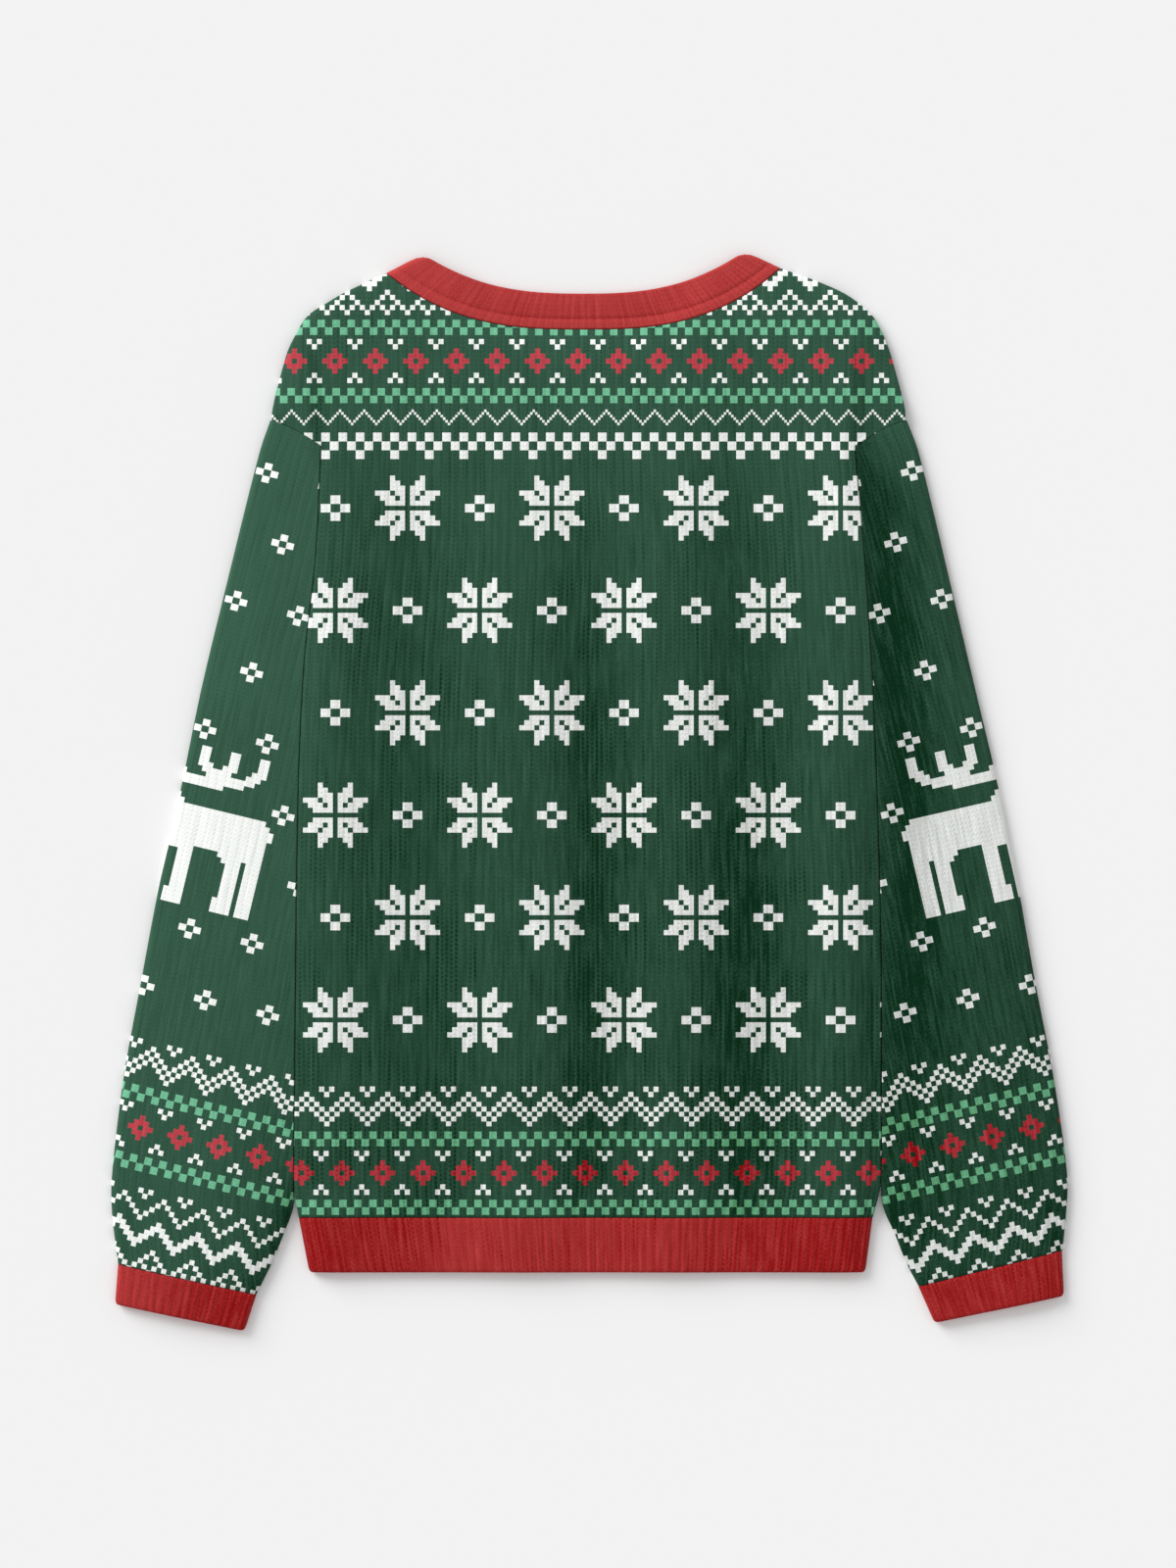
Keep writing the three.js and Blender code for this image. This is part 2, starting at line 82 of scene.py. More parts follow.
# Body edges below the armholes: height, left edge, right edge
BODY_SIDES = [
    (-293, -200.7, 195.3),
    (-270, -203.7, 200.5),
    (-200, -203.4, 201.3),
    (-125, -202.7, 201.3),
    (-50, -201.8, 199.8),
    (25, -200.1, 197.4),
    (95, -196.2, 194.2),
    (165, -188.6, 189.4),
    (238.8, -185.1, 183.2),
]
HEM_Y, HEM_LEFT, HEM_RIGHT = BODY_SIDES[0]
CORNER_Y, CORNER_LEFT, CORNER_RIGHT = BODY_SIDES[-1]

# Shoulder outline from a sleeve's tip to the neck corner, left and right
SHOULDER_LEFT = [
    (-220.3, 256.8), (-216.2, 275.7), (-208.8, 302.7), (-203.4, 314.5), (-195.1, 328),
    (-182.7, 336.7), (-170.3, 344.1), (-155.5, 351.2), (-140.5, 358.1),
]
SHOULDER_RIGHT = [
    (218.9, 256.8), (214.9, 275.7), (207.4, 302.7), (202.6, 315.5), (195.6, 328.1),
    (186.8, 336.6), (175, 344.6), (157.4, 352.4), (132.1, 361.5),
]
NECK_CORNERS = (SHOULDER_LEFT[-1], SHOULDER_RIGHT[-1])
NECK_PEAKS = ((-115.2, 369.6), (107, 371.6))
TIP_INSET = 1.3
ARMHOLE_BOW = 1.8
ARMHOLE_BOW_FADE = 60
UPPER_HEIGHT = 96  # of the body over the armholes, for its count of rows
CROWDED = 2.5  # where a panel is lower than this many leads of edge rows, its rows draw together
OUTLINE_STRIDE = 4  # points of an edge to one point of an outline
ARMHOLE_STRIDE = 3

# Necklines: lowest height of the seam and of the free edge, and how fast they climb
BACK_NECK = {"seam_y": 319.3, "free_y": 343.5, "power": 2.9}
FRONT_NECK = {"seam_y": 254, "free_y": 277, "power": 2.4}

# Sleeve edges: height, left edge, right edge
SLEEVE_OUTER = [
    (-325.3, -325.4, 325.4),
    (-290, -329.6, 328.9),
    (-265, -329.7, 329.7),
    (-197, -321.6, 320.3),
    (-130, -309.5, 307.4),
    (-62, -296.6, 295.3),
    (5, -281.6, 281.8),
    (73, -267.6, 265.8),
    (140, -251.4, 250),
    (235, -227.7, 227),
    (256.8, -220.3, 218.9),
]
SLEEVE_INNER = [
    (-346.5, -230.1, 230.1),
    (-325, -219.4, 218.8),
    (-304, -210.8, 210.3),
    (-286, -204.4, 202.5),
    (-270, -204, 200.8),
]
ARMHOLE_SLANT = 18
SLEEVE_PARTS_AT = (-255, -300)  # heights between which the sleeve turns free of the body

# Cuffs: corners at the sleeve's seam and at the open end, each outer then inner
CUFFS = {
    "left": {"seam": ((-325.4, -325.3), (-230.1, -346.5)), "end": ((-327.5, -353.1), (-238.2, -371.6))},
    "right": {"seam": ((325.9, -315.8), (227, -340.6)), "end": ((327.4, -347.3), (238, -366))},
}
SIDES = {"left": {"column": 1, "outward": -1}, "right": {"column": 2, "outward": 1}}

HEM_END_Y = -331.1
HEM_END_LEFT = -193.4
HEM_END_RIGHT = 190.2
CORNER = 1.8  # rounding of the corners of the hem and the cuffs

# Long soft folds of the body: crest line from collar end to hem end, half width and height
BODY_FOLDS = [
    {"top": (-62, 230), "end": (-48, -331), "width": 30, "height": 2.1},
    {"top": (48, 215), "end": (61, -331), "width": 27, "height": 2.2},
    {"top": (-168, 200), "end": (-181, -331), "width": 17, "height": 1.4},
    {"top": (166, 255), "end": (176, -331), "width": 22, "height": 2.0},
]
FOLD_FADE = 110

# Soft hollows of the drape, each both a shallow trough and painted shade on the yarn. Each follows a line of
# (height, place across) and has a half width to its left and right, and a strength by height. Where the
# strength is negative it is a light ridge with painted light.
BODY_HOLLOWS = [
    {
        "line": [(235, -134), (188, -132), (-100, -122), (-197, -112), (-295, -118)],
        "left": 34, "right": 30,
        "strength": [(250, 0), (188, 0.24), (0, 0.26), (-200, 0.22), (-295, 0.25)],
    },
    {
        "line": [(235, -24), (188, -20), (80, -8), (-30, -2), (-295, -3)],
        "left": 17, "right": 31,
        "strength": [(250, 0), (188, 0.26), (130, 0.34), (80, 0.46), (25, 0.5), (-190, 0.52), (-295, 0.4)],
    },
    {
        "line": [(330, 85), (188, 92), (130, 100), (60, 101), (-30, 103), (-295, 106)],
        "left": 27, "right": 30,
        "strength": [
            (350, 0.02), (235, 0.18), (188, 0.4), (130, 0.42), (80, 0.48), (25, 0.54), (-30, 0.62),
            (-80, 0.68), (-200, 0.68), (-295, 0.58),
        ],
    },
    {
        "line": [(240, -203), (-295, -203)],
        "left": 40, "right": 20,
        "strength": [
            (250, -0.08), (188, -0.22), (53, -0.27), (-30, -0.18), (-80, -0.13), (-140, -0.1), (-170, 0),
        ],
    },
    {
        "line": [(100, 194), (-295, 194)],
        "left": 17, "right": 20,
        "strength": [(60, 0), (25, 0.1), (-30, 0.16), (-80, 0.22), (-200, 0.3), (-295, 0.3)],
    },
]
ARMHOLE_HOLLOWS = [
    {
        "line": [(310, -195), (294, -189.5), (269, -187.5), (241, -186)],
        "left": 5.5, "right": 4.5,
        "strength": [(322, 0), (305, 0.2), (290, 0.38), (262, 0.46), (244, 0.34), (222, 0)],
    },
    {
        "line": [(312, 189), (290, 186), (262, 185), (242, 186), (215, 189)],
        "left": 6, "right": 9,
        "strength": [(330, 0), (300, 0.28), (269, 0.36), (242, 0.5), (215, 0.4), (190, 0.1), (180, 0)],
    },
]
# Hollows of the sleeves, each a trough with painted shade like those of the body
SLEEVE_HOLLOWS = {
    "left": [
        {
            "line": [(-100, -203), (-270, -204), (-290, -205), (-325, -219), (-346, -230)],
            "left": 38, "right": 10,
            "strength": [(-90, 0), (-190, 0.15), (-245, 0.28), (-346, 0.38)],
        },
        {
            "line": [(-240, -204), (-290, -205), (-325, -219), (-346, -230)],
            "left": 14, "right": 10,
            "strength": [(-245, 0), (-268, 0.3), (-290, 0.65), (-320, 0.35), (-346, 0.25)],
        },
    ],
    "right": [
        {
            "line": [
                (245, 196), (188, 198), (135, 205), (60, 213), (25, 217), (-30, 221), (-95, 223),
                (-165, 223), (-218, 216), (-300, 207),
            ],
            "left": 18, "right": 24,
            "strength": [
                (262, 0), (240, 0.25), (188, 0.75), (135, 0.9), (25, 0.85), (-30, 0.72), (-95, 0.62),
                (-165, 0.52), (-218, 0.3), (-260, 0.3), (-300, 0.5), (-325, 0.15),
            ],
        },
        {
            "line": [(-240, 332), (-320, 326)],
            "left": 18, "right": 10,
            "strength": [(-245, 0), (-290, 0.22), (-320, 0.3)],
        },
    ],
}
HOLLOW_DEPTH = 1.5  # depth of a hollow of strength 1
SLEEVE_HOLLOW_DEPTH = 1.1
HOLLOW_EDGE = 3  # hollows run out over this distance from an edge

# Painted shade by height, from 0 at its lightest: the body darker towards the bottom, the right sleeve far
# darker than the left, as in the shade of the body; and painted shade across the hem, the cuffs and the
# neckband
BODY_SHADE = [(350, 0.15), (242, 0.25), (188, 0.32), (53, 0.46), (-80, 0.53), (-215, 0.62), (-295, 0.58)]
SLEEVE_SHADES = {
    "left": [(250, 0), (70, 0.02), (40, 0.1), (-130, 0.12), (-190, 0.15), (-245, 0.18), (-300, 0.25)],
    "right": [
        (250, 0.15), (215, 0.32), (188, 0.46), (60, 0.49), (25, 0.57), (-30, 0.62), (-80, 0.68),
        (-160, 0.82), (-215, 0.86), (-300, 0.88),
    ],
}
# Painted shade across the hem, by place across: lighter in the middle, darker towards both ends
HEM_SHADE_ACROSS = [
    (-200, 1.1), (-184, 1.0), (-160, 0.92), (-130, 0.86), (-85, 0.42), (-50, 0.45), (-14, 0.58),
    (40, 0.52), (70, 0.65), (100, 0.85), (150, 0.98), (168, 1.0), (190, 1.04),
]
# Painted shade over the whole hem
HEM_SHADE = 0.14
# Painted shade across each cuff, from its inner end at 0 to its outer end at 1
CUFF_SHADES = {
    "left": [(0, 1.2), (0.2, 1.12), (0.5, 0.96), (0.85, 0.5), (1, 0.48)],
    "right": [(0, 1.06), (0.2, 1.01), (0.5, 1.01), (1, 1.02)],
}
# Painted shade on the neckband by distance from its seam, deepest along the sewn line and near its edges
NECKBAND_SHADE = [
    (0, 0.3), (1, 0.14), (6.3, 0.12), (7.2, 0.6), (8.2, 0.34), (14, 0.3), (20, 0.16), (24, 0.32),
]
# Painted shade on faces that lie on the floor and on inner faces
FACE_DOWN_SHADE = 0.3

# Crest of each sleeve, as a share from the body's side to the outer edge
SLEEVE_FOLDS = {
    "left": {"crest": 0.55, "width": 0.3, "height": 1.5},
    "right": {"crest": 0.66, "width": 0.28, "height": 1.6},
}
SLEEVE_PUFF = 0.3
CREST_START = 0.25  # share of the sleeve's length over which the crest grows
HEM_FLATTENING = 0.5  # share of the body's relief that is left at the hem's end


# Curves and profiles


def along(table, at, column=1):
    """Value on a smooth curve through a table's rows, at one or many places in its first column."""
    rows = sorted(table)
    places = np.array([row[0] for row in rows], float)
    values = np.array([row[column] for row in rows], float)
    count = len(rows)
    before = np.maximum(np.arange(count) - 1, 0)
    after = np.minimum(np.arange(count) + 1, count - 1)
    tangents = (values[after] - values[before]) / (places[after] - places[before])
    at = np.asarray(at, float)
    row = np.clip(np.searchsorted(places, at, side="right") - 1, 0, count - 2)
    step = places[row + 1] - places[row]
    t = np.clip((at - places[row]) / step, 0, 1)
    ends = values[row] * (1 + 2 * t) * (1 - t) ** 2 + values[row + 1] * t * t * (3 - 2 * t)
    return ends + step * (tangents[row] * t * (1 - t) ** 2 - tangents[row + 1] * t * t * (1 - t))


def lerp(start, end, share):
    return start + (end - start) * share


def smoothstep(value, low, high):
    t = np.clip((value - low) / (high - low), 0, 1)
    return t * t * (3 - 2 * t)


def rounded(distance, radius):
    """Quarter-round rise from 0 at an edge to 1 at a distance from it."""
    t = np.clip(distance / radius, 0, 1)
    return np.sqrt(1 - (1 - t) ** 2)


def rib_hollow(phase, depth):
    """How far ribs fall from their crowns, where the whole numbers of phase are the grooves."""
    return depth * (0.5 + 0.5 * np.cos(2 * np.pi * phase)) ** RIB_SHARPNESS


def neck_curve(corners, low_y, power, x, narrower=0.0):
    """Curve of a neckline, lowest at its middle."""
    (left_x, left_y), (right_x, right_y) = corners
    middle = (left_x + right_x) / 2
    half = (right_x - left_x) / 2 - narrower
    corner_y = np.where(x < middle, left_y, right_y)
    return low_y + (corner_y - low_y) * (np.abs(x - middle) / half) ** power


def panel_top(neck, x):
    """Top edge of a body panel at places across it."""
    (left_x, _), (right_x, _) = NECK_CORNERS
    inside = neck_curve(NECK_CORNERS, neck["seam_y"], neck["power"], np.clip(x, left_x, right_x))
    shoulder = np.where(x < 0, along(SHOULDER_LEFT, x), along(SHOULDER_RIGHT, x))
    return np.where((x >= left_x) & (x <= right_x), inside, shoulder)


def table(rows, at):
    """Value on straight lines through a table's rows."""
    rows = sorted(rows)
    return np.interp(at, [row[0] for row in rows], [row[1] for row in rows])


def line_distance(x, y, points):
    """Distance of each point (x, y) from a broken line."""
    nearest = np.full(np.shape(x), np.inf)
    for (ax, ay), (bx, by) in zip(points[:-1], points[1:]):
        dx, dy = bx - ax, by - ay
        t = np.clip(((x - ax) * dx + (y - ay) * dy) / max(dx * dx + dy * dy, 1e-9), 0, 1)
        nearest = np.minimum(nearest, np.hypot(x - ax - t * dx, y - ay - t * dy))
    return nearest


def folds_at(x, y):
    total = np.zeros(np.broadcast(x, y).shape)
    for fold in BODY_FOLDS:
        (top_x, top_y), (end_x, end_y) = fold["top"], fold["end"]
        crest = lerp(top_x, end_x, np.clip((top_y - y) / (top_y - end_y), 0, 1))
        grown = smoothstep(top_y - y, 0, FOLD_FADE)
        total = total + fold["height"] * grown * np.exp(-(((x - crest) / fold["width"]) ** 2))
    return total


def hollows_at(x, y, hollows):
    """Summed strength of the drape's hollows."""
    total = np.zeros(np.broadcast(x, y).shape)
    for hollow in hollows:
        away = x - table(hollow["line"], y)
        width = np.where(away < 0, hollow["left"], hollow["right"])
        total = total + table(hollow["strength"], y) * np.exp(-((away / width) ** 2))
    return total


def back_level(x, y, seam_distance):
    """Inner face of the back, with its folds and its sag inside the front's neckline."""
    middle = (NECK_PEAKS[0][0] + NECK_PEAKS[1][0]) / 2
    half = NECK_PEAKS[1][0] - middle
    near = middle + np.clip(x - middle, -half, half)
    past = y - neck_curve(NECK_PEAKS, FRONT_NECK["free_y"], FRONT_NECK["power"], near)
    past = np.where(np.abs(x - middle) < half, past, 0)
    sag = (NECK_SAG + BODY_PUFF) * smoothstep(past, SAG_START, SAG_START + SAG_LENGTH)
    return BACK_LEVEL + smoothstep(seam_distance, 0, SEAM_RISE) * (BODY_PUFF + folds_at(x, y)) - sag


# Meshes


def cells(grid):
    """The four corners of each cell of a grid of point numbers."""
    corners = [grid[:-1, :-1], grid[:-1, 1:], grid[1:, 1:], grid[1:, :-1]]
    return np.stack(corners, axis=2).reshape(-1, 4)


class Cloth:
    """One closed knitted piece. A point holds its place, its place on the pattern chart, its count
    of ribs and stitches, and the painted shade or painted light on its yarn. Points on a fold may share one
    vertex."""

    def __init__(self):
        self.places = []
        self.charts = []
        self.knits = []
        self.painted_shadings = []
        self.owners = []
        self.faces = []

    def add(self, x, y, z, chart, knit, tone=FACE_DOWN_SHADE, owners=None):
        """Adds points given as arrays of one shape and returns their numbers in that shape."""
        arrays = np.broadcast_arrays(x, y, z, *chart, *knit, tone)
        x, y, z, chart_x, chart_y, ribs, stitches, tone = [np.ravel(a).astype(float) for a in arrays]
        numbers = np.arange(len(self.places), len(self.places) + len(x))
        self.places.extend(zip(x, y, z))
        self.charts.extend(zip(chart_x, chart_y))
        self.knits.extend(zip(ribs, stitches))
        self.painted_shadings.extend(tone)
        given = numbers if owners is None else np.ravel(owners)
        self.owners.extend(np.where(given < 0, numbers, given))
        return numbers.reshape(arrays[0].shape)

    def grid(self, numbers):
        self.faces.extend(cells(numbers).tolist())

    def bridge(self, lower, upper):
        """Faces between two rows that match from their first points. What a longer row has more
        fans out from the last point of the shorter one."""
        common = min(len(lower), len(upper))
        for i in range(common - 1):
            self.faces.append([lower[i], lower[i + 1], upper[i + 1], upper[i]])
        for i in range(common - 1, len(lower) - 1):
            self.faces.append([lower[i], lower[i + 1], upper[-1]])
        for i in range(common - 1, len(upper) - 1):
            self.faces.append([lower[-1], upper[i + 1], upper[i]])

    def stitch(self, lower, upper):
        """Triangles between two rows that run side by side with points at different places."""
        places = np.array([self.places[n] for n in [*lower, *upper]])
        below, above = places[: len(lower)], places[len(lower):]
        i = j = 0
        while i < len(lower) - 1 or j < len(upper) - 1:
            ahead_below = np.inf if i == len(lower) - 1 else np.linalg.norm(below[i + 1] - above[j])
            ahead_above = np.inf if j == len(upper) - 1 else np.linalg.norm(below[i] - above[j + 1])
            if ahead_below <= ahead_above:
                self.faces.append([lower[i], lower[i + 1], upper[j]])
                i += 1
            else:
                self.faces.append([lower[i], upper[j + 1], upper[j]])
                j += 1

    def build(self, name, material):
        owners = np.array(self.owners)
        used, vertex_of = np.unique(owners, return_inverse=True)
        places = np.array(self.places)[used] / 1000
        mesh = bpy.data.meshes.new(name)
        mesh.from_pydata(places.tolist(), [], [[vertex_of[n] for n in face] for face in self.faces])
        corners = np.concatenate([np.array(face) for face in self.faces])
        for layer, values in (("Chart", self.charts), ("Knit", self.knits)):
            uv = mesh.uv_layers.new(name=layer)
            uv.data.foreach_set("uv", np.array(values)[corners].astype(np.float32).ravel())
        # Painted shade and painted light of each point, which the materials read
        painted_shadings = mesh.attributes.new(name="PaintedShading", type="FLOAT", domain="POINT")
        painted_shadings.data.foreach_set("value", np.array(self.painted_shadings)[used].astype(np.float32))
        work = bmesh.new()
        work.from_mesh(mesh)
        bmesh.ops.recalc_face_normals(work, faces=work.faces)
        for face in work.faces:
            face.smooth = True
        work.to_mesh(mesh)
        work.free()
        mesh.materials.append(material)
        piece = bpy.data.objects.new(name, mesh)
        bpy.context.scene.collection.objects.link(piece)
        return piece


def metres(*values):
    return tuple(value / 1000 for value in values)


def edge_rows(start, end, near_start=True, near_end=True):
    """Places from start to end, close together next to the ends that are edges."""
    length = end - start
    lead = EDGE_STEPS if near_start else EDGE_STEPS[:1]
    tail = EDGE_STEPS if near_end else EDGE_STEPS[:1]
    first, last = lead[-1], length - tail[-1]
    count = max(2, round((last - first) / ROW_STEP))
    middle = np.linspace(first, last, count + 1)[1:-1]
    return start + np.concatenate([lead, middle, [length - step for step in reversed(tail)]])


# Body panels


class PanelFace:
    """Points of one face of a body panel: columns from the hem seam up to the top edge, and more
    of them standing on each armhole seam."""

    def __init__(self, neck, columns_a_rib, row_step, inset=0.0):
        rib_count = 2 * round((CORNER_RIGHT - CORNER_LEFT) / RIB_PITCH / 2)
        if columns_a_rib:
            main = rib_count * columns_a_rib
            wing = round((CORNER_LEFT - SHOULDER_LEFT[0][0] - TIP_INSET) / RIB_PITCH * columns_a_rib)
        else:
            main = round((CORNER_RIGHT - CORNER_LEFT) / INNER_STEP)
            wing = round((CORNER_LEFT - SHOULDER_LEFT[0][0]) / INNER_STEP)
        fine = columns_a_rib is not None
        steps = np.array(EDGE_STEPS if fine else EDGE_STEPS[:1])
        self.main, self.wing = main, wing
        self.neck = neck

        lower_count = round((CORNER_Y - HEM_Y) / row_step)
        lower_y = np.linspace(HEM_Y + inset, CORNER_Y, lower_count + 1)
        if fine:
            lower_y = np.concatenate([HEM_Y + steps, lower_y[1:]])
        across = np.linspace(0, 1, main + 1)
        left = along(BODY_SIDES, lower_y, 1) + inset
        right = along(BODY_SIDES, lower_y, 2) - inset
        self.lower_x = lerp(left[:, None], right[:, None], across[None, :])
        self.lower_y = np.broadcast_to(lower_y[:, None], self.lower_x.shape)
        self.lower_ribs = np.broadcast_to(across * rib_count, self.lower_x.shape)

        feet_x = lerp(CORNER_LEFT + inset, CORNER_RIGHT - inset, across)
        feet_y = np.full(main + 1, float(CORNER_Y))
        shares = np.arange(1, wing + 1) / wing
        for side in ("left", "right"):
            corner_x = CORNER_LEFT if side == "left" else CORNER_RIGHT
            tip_x, tip_y = (SHOULDER_LEFT if side == "left" else SHOULDER_RIGHT)[0]
            reach = shares * (1 - (TIP_INSET + inset) / abs(tip_x - corner_x))
            x = lerp(corner_x, tip_x, reach)
            y = lerp(CORNER_Y, tip_y, reach) + ARMHOLE_BOW * np.sin(np.pi * reach) + inset
            feet_x = np.concatenate([x[::-1], feet_x] if side == "left" else [feet_x, x])
            feet_y = np.concatenate([y[::-1], feet_y] if side == "left" else [feet_y, y])
        top_y = panel_top(neck, feet_x) - inset
        height = top_y - feet_y
        tight = np.minimum(1, height / (CROWDED * EDGE_STEPS[-1])) if fine else np.ones_like(height)
        upper_count = round(UPPER_HEIGHT / row_step)
        rows = [feet_y + step * tight for step in steps]
        low, high = rows[-1], top_y - steps[-1] * tight
        rows += [lerp(low, high, k / upper_count) for k in range(1, upper_count)]
        rows += [top_y - step * tight for step in reversed(steps)]
        self.upper_y = np.array(rows)
        self.upper_x = np.broadcast_to(feet_x, self.upper_y.shape)
        wing_ribs = shares * wing * (rib_count / main)
        ribs = np.concatenate([-wing_ribs[::-1], across * rib_count, rib_count + wing_ribs])
        self.upper_ribs = np.broadcast_to(ribs, self.upper_y.shape)

    def outlines(self):
        """The panel's edge without the hem seam, as three broken lines: both shoulders, which are
        free, and the rest, which other pieces lie against."""
        main, wing = self.main, self.wing
        left = list(zip(self.lower_x[:, 0], self.lower_y[:, 0]))[::OUTLINE_STRIDE]
        right = list(zip(self.lower_x[:, -1], self.lower_y[:, -1]))[::OUTLINE_STRIDE]
        foot = list(zip(self.upper_x[0], self.upper_y[0]))
        top = list(zip(self.upper_x[-1], self.upper_y[-1]))
        (corner_left, _), (corner_right, _) = NECK_CORNERS
        shoulder_left = [spot for spot in top if spot[0] <= corner_left + 1]
        shoulder_right = [spot for spot in top if spot[0] >= corner_right - 1]
        neckline = [spot for spot in top if corner_left <= spot[0] <= corner_right]
        armhole_left = left + foot[: wing + 1][::-ARMHOLE_STRIDE] + [foot[0]]
        armhole_right = right + foot[main + wing:: ARMHOLE_STRIDE] + [foot[-1]]
        free = [shoulder_left[::OUTLINE_STRIDE], shoulder_right[::OUTLINE_STRIDE]]
        return free, [armhole_left, armhole_right, neckline[::OUTLINE_STRIDE]]

    def add_to(self, cloth, level, tone=None):
        """Adds the face and returns the four stretches of its edge, all round."""
        def points(x, y, ribs):
            shade = FACE_DOWN_SHADE if tone is None else tone(x, y)
            knit = (ribs, y / STITCH_HEIGHT)
            return cloth.add(x, y, level(x, y, ribs), metres(x, y), knit, shade)

        lower = points(self.lower_x, self.lower_y, self.lower_ribs)
        main, wing = self.main, self.wing
        upper_x, upper_y, upper_ribs = self.upper_x, self.upper_y, self.upper_ribs
        upper = points(upper_x[1:], upper_y[1:], upper_ribs[1:])
        left_feet = points(upper_x[0, :wing], upper_y[0, :wing], upper_ribs[0, :wing])
        right_feet = points(upper_x[0, -wing:], upper_y[0, -wing:], upper_ribs[0, -wing:])
        feet = np.concatenate([left_feet, lower[-1], right_feet])
        upper = np.concatenate([feet[None, :], upper])
        cloth.grid(lower)
        cloth.grid(upper)
        left_edge = [*lower[:, 0], *left_feet[::-1], *upper[1:, 0]]
        right_edge = [*lower[:, -1], *right_feet, *upper[1:, -1]]
        return [list(lower[0]), right_edge, list(upper[-1][::-1]), left_edge[::-1]]


def nearest(x, y, lines):
    return np.min([line_distance(x, y, line) for line in lines], axis=0)


def add_panel(name, upper, lower, upper_level, lower_level, material, tone=None):
    cloth = Cloth()
    above = upper.add_to(cloth, upper_level, tone)
    below = lower.add_to(cloth, lower_level)
    for one, other in zip(below, above):
        cloth.stitch(one, other)
    return cloth.build(name, material)


def add_back(material):
    face = PanelFace(BACK_NECK, RIB_COLUMNS, ROW_STEP)
    inner = PanelFace(BACK_NECK, None, INNER_STEP, inset=PANEL_INSET)
    free, joined = face.outlines()

    def inner_level(x, y, ribs):
        return back_level(x, y, nearest(x, y, free + joined))

    def outer_level(x, y, ribs):
        from_free, from_join = nearest(x, y, free), nearest(x, y, joined)
        edge = np.minimum(from_free, from_join)
        free_turn, join_turn = rounded(from_free, EDGE_RADIUS), rounded(from_join, JOIN_RADIUS)
        turned = np.minimum(free_turn, join_turn)
        thickness = WALL * lerp(EDGE_THICKNESS, 1, free_turn) * lerp(JOIN_THICKNESS, 1, join_turn)
        seam = SEAM_DIP * (1 - rounded(y - HEM_Y, SEAM_SOFTNESS))
        relief = (RIB_CROWN - rib_hollow(ribs, BODY_GROOVE)) * turned
        hollow = HOLLOW_DEPTH * hollows_at(x, y, BODY_HOLLOWS + ARMHOLE_HOLLOWS)
        return back_level(x, y, edge) + thickness + relief - seam - hollow * smoothstep(edge, 0, HOLLOW_EDGE)

    # Painted shade of the back, darker towards the bottom and in the hollows, with painted light on the
    # ridge
    def tone(x, y):
        return table(BODY_SHADE, y) + hollows_at(x, y, BODY_HOLLOWS + ARMHOLE_HOLLOWS)

    return add_panel("knit_back", face, inner, outer_level, inner_level, material, tone)


def add_front(material):
    face = PanelFace(FRONT_NECK, UNDER_RIB_COLUMNS, ROW_STEP)
    inner = PanelFace(FRONT_NECK, None, INNER_STEP, inset=PANEL_INSET)
    free, joined = face.outlines()

    def outer_level(x, y, ribs):
        turned = 1 - rounded(nearest(x, y, free + joined), EDGE_RADIUS)
        seam = SEAM_DIP * (1 - rounded(y - HEM_Y, SEAM_SOFTNESS))
        return WALL * (1 - EDGE_THICKNESS) * turned + seam + rib_hollow(ribs, BODY_GROOVE)

    def inner_level(x, y, ribs):
        return np.full(np.shape(x), WALL)

    return add_panel("knit_front", inner, face, inner_level, outer_level, material)


# Tubes: sleeves, cuffs and the hem band


class Section:
    """One row of a flattened tube, from its inner end at share 0 to its outer end at share 1."""

    def __init__(self, start, end, roof, stitches, tone, sink=0.0, bow=0.0, chart=None,
                 inner_radius=EDGE_RADIUS, hollow=None):
        self.start, self.end = np.array(start, float), np.array(end, float)
        self.width = float(np.linalg.norm(self.end - self.start))
        self.roof, self.stitches, self.tone = roof, stitches, tone
        self.sink, self.bow, self.inner_radius = sink, bow, inner_radius
        self.chart = chart or (lambda x, y: (x, y))
        self.hollow = hollow or (lambda x, y: 0 * x)

    def place(self, share):
        x = lerp(self.start[0], self.end[0], share)
        y = lerp(self.start[1], self.end[1], share) + self.bow * np.sin(np.pi * share)
        return x, y

    def edge(self, share):
        return np.minimum(share, 1 - share) * self.width

    def turned(self, share):
        """0 at both folds and 1 where the tube lies flat."""
        inner = rounded(share * self.width, self.inner_radius)
        return np.minimum(inner, rounded((1 - share) * self.width, EDGE_RADIUS))


